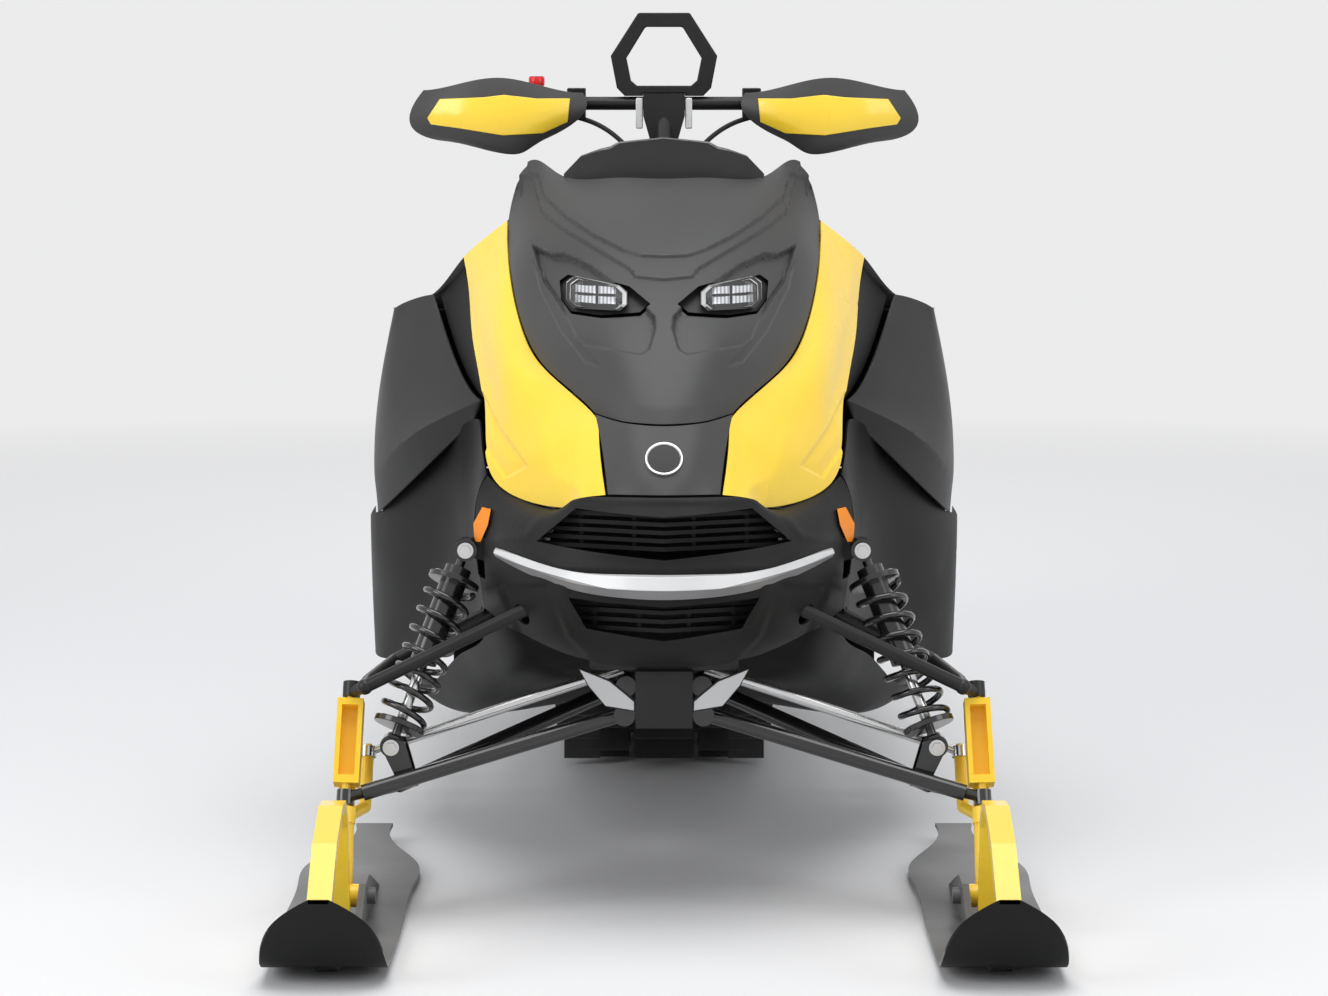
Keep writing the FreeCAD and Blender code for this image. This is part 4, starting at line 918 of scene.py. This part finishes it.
def blow_up(obj):
    cloth = obj.modifiers.new("foam", "CLOTH")
    cloth.settings.use_pressure = True
    cloth.settings.uniform_pressure_force = SEAT_PRESSURE
    cloth.settings.effector_weights.gravity = 0.0
    cloth.settings.quality = 5
    cloth.point_cache.frame_start = 1
    cloth.point_cache.frame_end = SEAT_FRAMES
    for number in range(1, SEAT_FRAMES + 1):
        scene.frame_set(number)
    apply_modifiers(obj)
    scene.frame_set(1)


def crease_depth(points):
    """Piping seams along both shoulders, and sewn channels across the rider's part."""
    top = np.interp(points[:, 1], [seat_low[1], TOP_BEND, seat_high[1]],
                    [seat_high[2], seat_high[2] - TOP_DROP, REAR_TOP])
    shoulder = np.abs(points[:, 2] - (top - PIPING_DROP))
    depth = np.exp(-np.square(shoulder / GROOVE_WIDTH)) * (np.abs(points[:, 0]) > SHOULDER_X)
    for y in CHANNELS:
        across = np.exp(-np.square((points[:, 1] - y) / GROOVE_WIDTH))
        depth = np.maximum(depth, across * (points[:, 2] > top - PIPING_DROP))
    return depth * GROOVE_DEPTH


def make_seat():
    obj = seat_block()
    remesh = obj.modifiers.new("even_mesh", "REMESH")
    remesh.mode = "VOXEL"
    remesh.voxel_size = SEAT_VOXEL
    apply_modifiers(obj)
    start = points_of(obj.data)
    blow_up(obj)
    moved = points_of(obj.data) - start
    far = np.linalg.norm(moved, axis=1)
    moved *= np.minimum(1, SEAT_SWELL / np.maximum(far, 1e-9))[:, None]
    points = start + moved
    points[:, 2] = np.maximum(points[:, 2], seat_low[2])
    put_points(obj.data, points)
    smooth = obj.modifiers.new("soft", "SMOOTH")
    smooth.iterations = 4
    finer = obj.modifiers.new("finer", "SUBSURF")
    finer.levels = 1
    finer.render_levels = 1
    apply_modifiers(obj)
    obj.data.update()
    points = points_of(obj.data)
    normals = np.empty(len(points) * 3)
    obj.data.vertices.foreach_get("normal", normals)
    points -= normals.reshape(-1, 3) * crease_depth(points)[:, None]
    put_points(obj.data, np.clip(points, seat_low, seat_high))
    shade_smooth(obj.data)
    return obj


saddle = make_seat()
paint(saddle.data, "seat_cover")
add_piece(saddle, "root", "seat_cover", "seat")
print("saddle:", len(saddle.data.polygons), "faces")

# %% [markdown]
# What repeats is grown by Geometry Nodes: a mesh of bare points says where, an attribute says which way
# each piece faces, and the tree puts one small shape on every point. Instances would be lost on export, so
# the tree makes them real, and the result becomes a plain mesh before it joins the machine.

# %% Trees that repeat small pieces
SOCKETS = {float: "NodeSocketFloat", tuple: "NodeSocketVector", type(None): "NodeSocketMaterial"}


def new_growth(name, **inputs):
    """A tree from geometry to geometry; the kind of each further input follows from its first value."""
    tree = bpy.data.node_groups.new(name, "GeometryNodeTree")
    tree.interface.new_socket("Geometry", in_out="INPUT", socket_type="NodeSocketGeometry")
    for label, value in inputs.items():
        socket = tree.interface.new_socket(label, in_out="INPUT", socket_type=SOCKETS[type(value)])
        if value is not None:
            socket.default_value = value
    tree.interface.new_socket("Geometry", in_out="OUTPUT", socket_type="NodeSocketGeometry")
    return tree, tree.nodes.new("NodeGroupInput"), tree.nodes.new("NodeGroupOutput")


def painted_end(tree, given, result, shape, output):
    """How every tree ends: instances are made real, and the finish comes from outside."""
    real = tree.nodes.new("GeometryNodeRealizeInstances")
    cover = tree.nodes.new("GeometryNodeSetMaterial")
    wire(tree, (shape, output, real, "Geometry"), (real, "Geometry", cover, "Geometry"),
         (given, "Finish", cover, "Material"), (cover, "Geometry", result, "Geometry"))


def on_every_point(tree, given, result, shape, output):
    """Puts one shape on each point, turned towards the point's aim."""
    aim = add_node(tree, "GeometryNodeInputNamedAttribute", {"Name": "aim"}, data_type="FLOAT_VECTOR")
    turn = add_node(tree, "FunctionNodeAlignRotationToVector", axis="Z")
    spread = tree.nodes.new("GeometryNodeInstanceOnPoints")
    wire(tree, (given, "Geometry", spread, "Points"), (shape, output, spread, "Instance"),
         (aim, "Attribute", turn, "Vector"), (turn, "Rotation", spread, "Rotation"))
    painted_end(tree, given, result, spread, "Instances")


WASHER_WIDE = 1.35
WASHER_THIN = 0.3


def fastener_tree(sides, taper_share):
    """A head with a number of sides, on a round washer."""
    tree, given, result = new_growth("fasteners_" + str(sides), Radius=0.005, Height=0.004, Finish=None)
    head = add_node(tree, "GeometryNodeMeshCone", {"Vertices": sides})
    taper = add_node(tree, "ShaderNodeMath", {1: taper_share}, operation="MULTIPLY")
    washer = add_node(tree, "GeometryNodeMeshCylinder", {"Vertices": 16})
    wide = add_node(tree, "ShaderNodeMath", {1: WASHER_WIDE}, operation="MULTIPLY")
    thin = add_node(tree, "ShaderNodeMath", {1: WASHER_THIN}, operation="MULTIPLY")
    both = tree.nodes.new("GeometryNodeJoinGeometry")
    wire(tree, (given, "Radius", head, "Radius Bottom"), (given, "Radius", taper, 0),
         (taper, 0, head, "Radius Top"), (given, "Height", head, "Depth"), (given, "Radius", wide, 0),
         (wide, 0, washer, "Radius"), (given, "Height", thin, 0), (thin, 0, washer, "Depth"),
         (head, "Mesh", both, "Geometry"), (washer, "Mesh", both, "Geometry"))
    on_every_point(tree, given, result, both, "Geometry")
    return tree


def grown(name, mesh, tree, settings):
    """Runs a tree on a mesh and keeps only the plain mesh that comes out."""
    obj = link(bpy.data.objects.new(name, mesh))
    modifier = obj.modifiers.new("growth", "NODES")
    modifier.node_group = tree
    for item in tree.interface.items_tree:
        if item.in_out == "INPUT" and item.name in settings:
            modifier[item.identifier] = settings[item.name]
    obj.update_tag()
    apply_modifiers(obj)
    obj.data.name = name
    shade_smooth(obj.data)
    obj.data.set_sharp_from_angle(angle=SHARP)
    return obj


def spots(places):
    """A mesh of bare points, each with the direction that its piece faces."""
    mesh = bpy.data.meshes.new("spots")
    mesh.from_pydata([p for p, aim in places], [], [])
    aims = mesh.attributes.new("aim", "FLOAT_VECTOR", "POINT")
    aims.data.foreach_set("vector", [c for p, aim in places for c in aim])
    return mesh


def dropped_on(tree, origins, direction):
    """Where straight lines from the origins meet the frame, and the surface's direction there."""
    found = []
    direction = Vector(direction)
    for origin in origins:
        place, aim = tree.ray_cast(Vector(origin), direction)[:2]
        if place is not None:
            found.append((place, aim if aim.dot(direction) < 0 else -aim))
    return found


def add_fasteners(name, places, tree, radius, height, finish):
    piece = grown(name, spots(places), tree, {"Radius": radius, "Height": height, "Finish": FINISHES[finish]})
    add_piece(piece, "root", finish)


RIVETS = fastener_tree(12, 0.75)
HEX_BOLTS = fastener_tree(6, 0.92)
print("trees:", RIVETS.name, HEX_BOLTS.name)

# %% [markdown]
# Rivets hold the tunnel's folded sheet and the snow flap, and bolts hold the boards. They are dropped
# straight onto the frame's own faces, so each one sits on what it fastens.

# %% Rivets and bolts
RIVET_STEP = 0.06
BOARD_BOLT_STEP = 0.135
TUNNEL_FOLD_X = 0.188
TUNNEL_WALL_Z = 0.335
BOARD_ROWS = (0.226, 0.430)
FLAP_ROW_Z = 0.515
FOLD_RUN = (-0.16, 1.33)
WALL_RUN = (-0.2, 1.06)
BOARD_RUN = (-0.27, 1.05)
FLAP_RUN = (-0.15, 0.16)
sheet_tree = surface_tree("tunnel")
board_tree = surface_tree("running_boards")
flap_tree = surface_tree("snow_flap")
rivet_places = []
bolt_places = []
for side in SIDES:
    top_row = [(side * TUNNEL_FOLD_X, y, 1.0) for y in np.arange(*FOLD_RUN, RIVET_STEP)]
    rivet_places += dropped_on(sheet_tree, top_row, (0, 0, -1))
    wall_row = [(side * 1.0, y, TUNNEL_WALL_Z) for y in np.arange(*WALL_RUN, RIVET_STEP * 1.5)]
    rivet_places += dropped_on(sheet_tree, wall_row, (-side, 0, 0))
    for x in BOARD_ROWS:
        board_row = [(side * x, y, 0.5) for y in np.arange(*BOARD_RUN, BOARD_BOLT_STEP)]
        bolt_places += dropped_on(board_tree, board_row, (0, 0, -1))
flap_row = [(x, 2.0, FLAP_ROW_Z) for x in np.arange(*FLAP_RUN, RIVET_STEP)]
rivet_places += dropped_on(flap_tree, flap_row, (0, -1, 0))
add_fasteners("sheet_rivets", rivet_places, RIVETS, 0.0042, 0.0022, "bright_steel")
add_fasteners("board_bolts", bolt_places, HEX_BOLTS, 0.0055, 0.0045, "black_steel")
print("rivets:", len(rivet_places), "bolts:", len(bolt_places))

# %% [markdown]
# The front springs follow one rule, a helix round the shock, so the whole spring is a tree too: a spiral
# curve, a round wire swept along it, then a turn that lays it on the shock's own line.

# %% Front springs
SHOCK_LOW = Vector((0.403, -1.035, 0.257))
SHOCK_TOP = Vector((0.297, -0.930, 0.536))
SPRING_FROM = 0.135
SPRING_TO = 0.80
SPRING_TURNS = 7.0
SPRING_RADIUS = 0.034
SPRING_WIRE = 0.005
COLLAR_SHARES = (0.085, 0.82)
COLLAR_THICK = 0.009
COLLAR_HOLE = 0.0215


def spring_tree():
    tree, given, result = new_growth(
        "coil_spring", Radius=SPRING_RADIUS, Wire=SPRING_WIRE, Turns=SPRING_TURNS, Length=0.2,
        Foot=(0.0, 0.0, 0.0), Aim=(0.0, 0.0, 1.0), Finish=None)
    coil = add_node(tree, "GeometryNodeCurveSpiral", {"Resolution": 28})
    strand = add_node(tree, "GeometryNodeCurvePrimitiveCircle", {"Resolution": 10})
    sweep = add_node(tree, "GeometryNodeCurveToMesh", {"Fill Caps": True})
    turn = add_node(tree, "FunctionNodeAlignRotationToVector", axis="Z")
    lay = tree.nodes.new("GeometryNodeTransform")
    wire(tree, (given, "Radius", coil, "Start Radius"), (given, "Radius", coil, "End Radius"),
         (given, "Turns", coil, "Rotations"), (given, "Length", coil, "Height"),
         (given, "Wire", strand, "Radius"), (coil, "Curve", sweep, "Curve"),
         (strand, "Curve", sweep, "Profile Curve"), (sweep, "Mesh", lay, "Geometry"),
         (given, "Aim", turn, "Vector"), (turn, "Rotation", lay, "Rotation"),
         (given, "Foot", lay, "Translation"))
    painted_end(tree, given, result, lay, "Geometry")
    return tree


def joined(name, objects):
    """One mesh object out of several, so that like pieces on one body stay one piece."""
    shape = bmesh.new()
    for obj in objects:
        shape.from_mesh(obj.data)
    finish = objects[0].data.materials[0]
    for obj in objects:
        bpy.data.objects.remove(obj)
    return closed_mesh(shape, name, finish)


def shock_point(side, share):
    place = SHOCK_LOW.lerp(SHOCK_TOP, share)
    place.x *= side
    return place


def shock_stretch(side, start, end):
    """The foot and the reach of a part of the shock's line, given by its shares."""
    foot = shock_point(side, start)
    return foot, shock_point(side, end) - foot


def spring_collar(side, share):
    aim = shock_stretch(side, 0, 1)[1].normalized()
    out = SPRING_RADIUS + SPRING_WIRE
    profile = [(COLLAR_HOLE, 0), (out - 0.001, 0), (out, 0.001), (out, COLLAR_THICK - 0.001),
               (out - 0.001, COLLAR_THICK), (COLLAR_HOLE, COLLAR_THICK)]
    return turned_cap("collar", profile, shock_point(side, share), aim, "gloss_black")


COIL = spring_tree()
pieces = []
for side in SIDES:
    foot, reach = shock_stretch(side, SPRING_FROM, SPRING_TO)
    pieces.append(grown("spring", spots([((0, 0, 0), (0, 0, 1))]), COIL,
                        {"Length": reach.length, "Foot": foot, "Aim": reach.normalized(),
                         "Finish": FINISHES["gloss_black"]}))
    pieces += [spring_collar(side, share) for share in COLLAR_SHARES]
springs = joined("coil_springs", pieces)
add_piece(springs, "root", "black_steel", "front_springs")
print("springs:", len(springs.data.polygons), "faces")

# %% [markdown]
# Inside each spring the damper has a plated rod, a red mark on its body, and a bolt head at each eye. They
# are turned about the damper's own line, like the collars.

# %% Damper details
ROD_RADIUS = 0.0080
ROD_SHARES = (0.13, 0.43)
ROD_CHAMFER = 0.9
EYE_HALF = 0.015
PIN_ENDS = (0.0105, 0.0045)
MARK_WIDE = math.radians(32)
MARK_SHARES = (0.60, 0.76)
MARK_RADIUS = 0.0208
MARK_THICK = 0.0004
MARK_COLUMNS = 7


def damper_rod(side):
    foot, reach = shock_stretch(side, *ROD_SHARES)
    length = reach.length
    narrow = ROD_RADIUS * ROD_CHAMFER
    profile = [(narrow, 0), (ROD_RADIUS, 0.001), (ROD_RADIUS, length - 0.001), (narrow, length)]
    return turned_cap("rod", profile, foot, reach.normalized(), "bright_steel")


def red_mark(side):
    shape = bmesh.new()
    foot, reach = shock_stretch(side, *MARK_SHARES)
    out = Vector((side, -0.8, 0)).normalized()
    over = reach.normalized().cross(out)
    out = over.cross(reach.normalized())
    columns = []
    for i in range(MARK_COLUMNS):
        angle = MARK_WIDE * (2 * i / (MARK_COLUMNS - 1) - 1)
        edge = foot + (out * math.cos(angle) + over * math.sin(angle)) * MARK_RADIUS
        columns.append([shape.verts.new(edge), shape.verts.new(edge + reach)])
    for near, far in zip(columns, columns[1:]):
        shape.faces.new((near[0], far[0], far[1], near[1]))
    bmesh.ops.solidify(shape, geom=shape.faces[:], thickness=MARK_THICK)
    return closed_mesh(shape, "mark", "red_cap")


rods = joined("damper_rods", [damper_rod(side) for side in SIDES])
add_piece(rods, "root", "bright_steel")
marks = joined("damper_marks", [red_mark(side) for side in SIDES])
add_piece(marks, "root", "gloss_black")
places = []
for side in SIDES:
    for share in (0, 1):
        place = shock_point(side, share)
        places.append(((place.x, place.y - EYE_HALF - PIN_ENDS[share], place.z), (0, -1, 0)))
add_fasteners("eye_bolts", places, HEX_BOLTS, 0.009, 0.006, "bright_steel")
print("damper details: 3")

# %% [markdown]
# Grips are soft rubber sleeves with raised rings. The rings are one circle swept into a thin torus and
# repeated along a line of points, a short tree of its own.

# %% Grips
GRIP_START = 0.270
GRIP_END = 0.392
GRIP_RINGS = 16
GRIP_RADIUS = 0.017
RING_WIRE = 0.0013
BAR_BEND = Vector((0.250, -0.300, 1.191))
BAR_TIP = Vector((0.400, -0.288, 1.181))


def ring_tree():
    tree, given, result = new_growth("grip_rings", Radius=GRIP_RADIUS, Wire=RING_WIRE, Finish=None)
    circle = add_node(tree, "GeometryNodeCurvePrimitiveCircle", {"Resolution": 28})
    strand = add_node(tree, "GeometryNodeCurvePrimitiveCircle", {"Resolution": 6})
    sweep = tree.nodes.new("GeometryNodeCurveToMesh")
    wire(tree, (given, "Radius", circle, "Radius"), (given, "Wire", strand, "Radius"),
         (circle, "Curve", sweep, "Curve"), (strand, "Curve", sweep, "Profile Curve"))
    on_every_point(tree, given, result, sweep, "Mesh")
    return tree


places = []
aim = (BAR_TIP - BAR_BEND).normalized()
for side in SIDES:
    for i in range(GRIP_RINGS):
        x = GRIP_START + (GRIP_END - GRIP_START) * i / (GRIP_RINGS - 1)
        place = BAR_BEND.lerp(BAR_TIP, (x - BAR_BEND.x) / (BAR_TIP.x - BAR_BEND.x))
        places.append(((side * place.x, place.y, place.z), (side * aim.x, aim.y, aim.z)))
rings = grown("grip_rings", spots(places), ring_tree(),
              {"Radius": GRIP_RADIUS, "Wire": RING_WIRE, "Finish": FINISHES["grip_rubber"]})
add_piece(rings, "steering", "grip_rubber")
print("grip rings:", len(places))

# %% [markdown]
# Two thin rubber hoses leave the control housings, pass under the bar and go down beside the post. Each is
# one smooth curve along a few points, and it keeps the frame's route.

# %% Brake hoses
HOSE_ROUTE = [(0.1857, -0.314, 1.177), (0.148, -0.318, 1.171), (0.104, -0.330, 1.157),
              (0.066, -0.344, 1.129), (0.034, -0.360, 1.087), (0.027, -0.377, 1.043), (0.025, -0.392, 1.001)]
HOSE_DIAMETER = 0.008


def make_hose(name, side):
    data = bpy.data.curves.new(name, "CURVE")
    data.dimensions = "3D"
    spline = data.splines.new("NURBS")
    spline.points.add(len(HOSE_ROUTE) - 1)
    for spot, (x, y, z) in zip(spline.points, HOSE_ROUTE):
        spot.co = (side * x, y, z, 1)
    spline.order_u = 3
    spline.use_endpoint_u = True
    spline.resolution_u = 12
    data.bevel_depth = HOSE_DIAMETER / 2
    data.bevel_resolution = 4
    data.use_fill_caps = True
    data.materials.append(FINISHES["grip_rubber"])
    return link(bpy.data.objects.new(name, data))


for name, side in (("hose_left", 1), ("hose_right", -1)):
    hose = make_hose(name, side)
    add_piece(hose, "steering", "grip_rubber", "brake_hoses")
    x, y, z = HOSE_ROUTE[0]
print("hoses: 2")
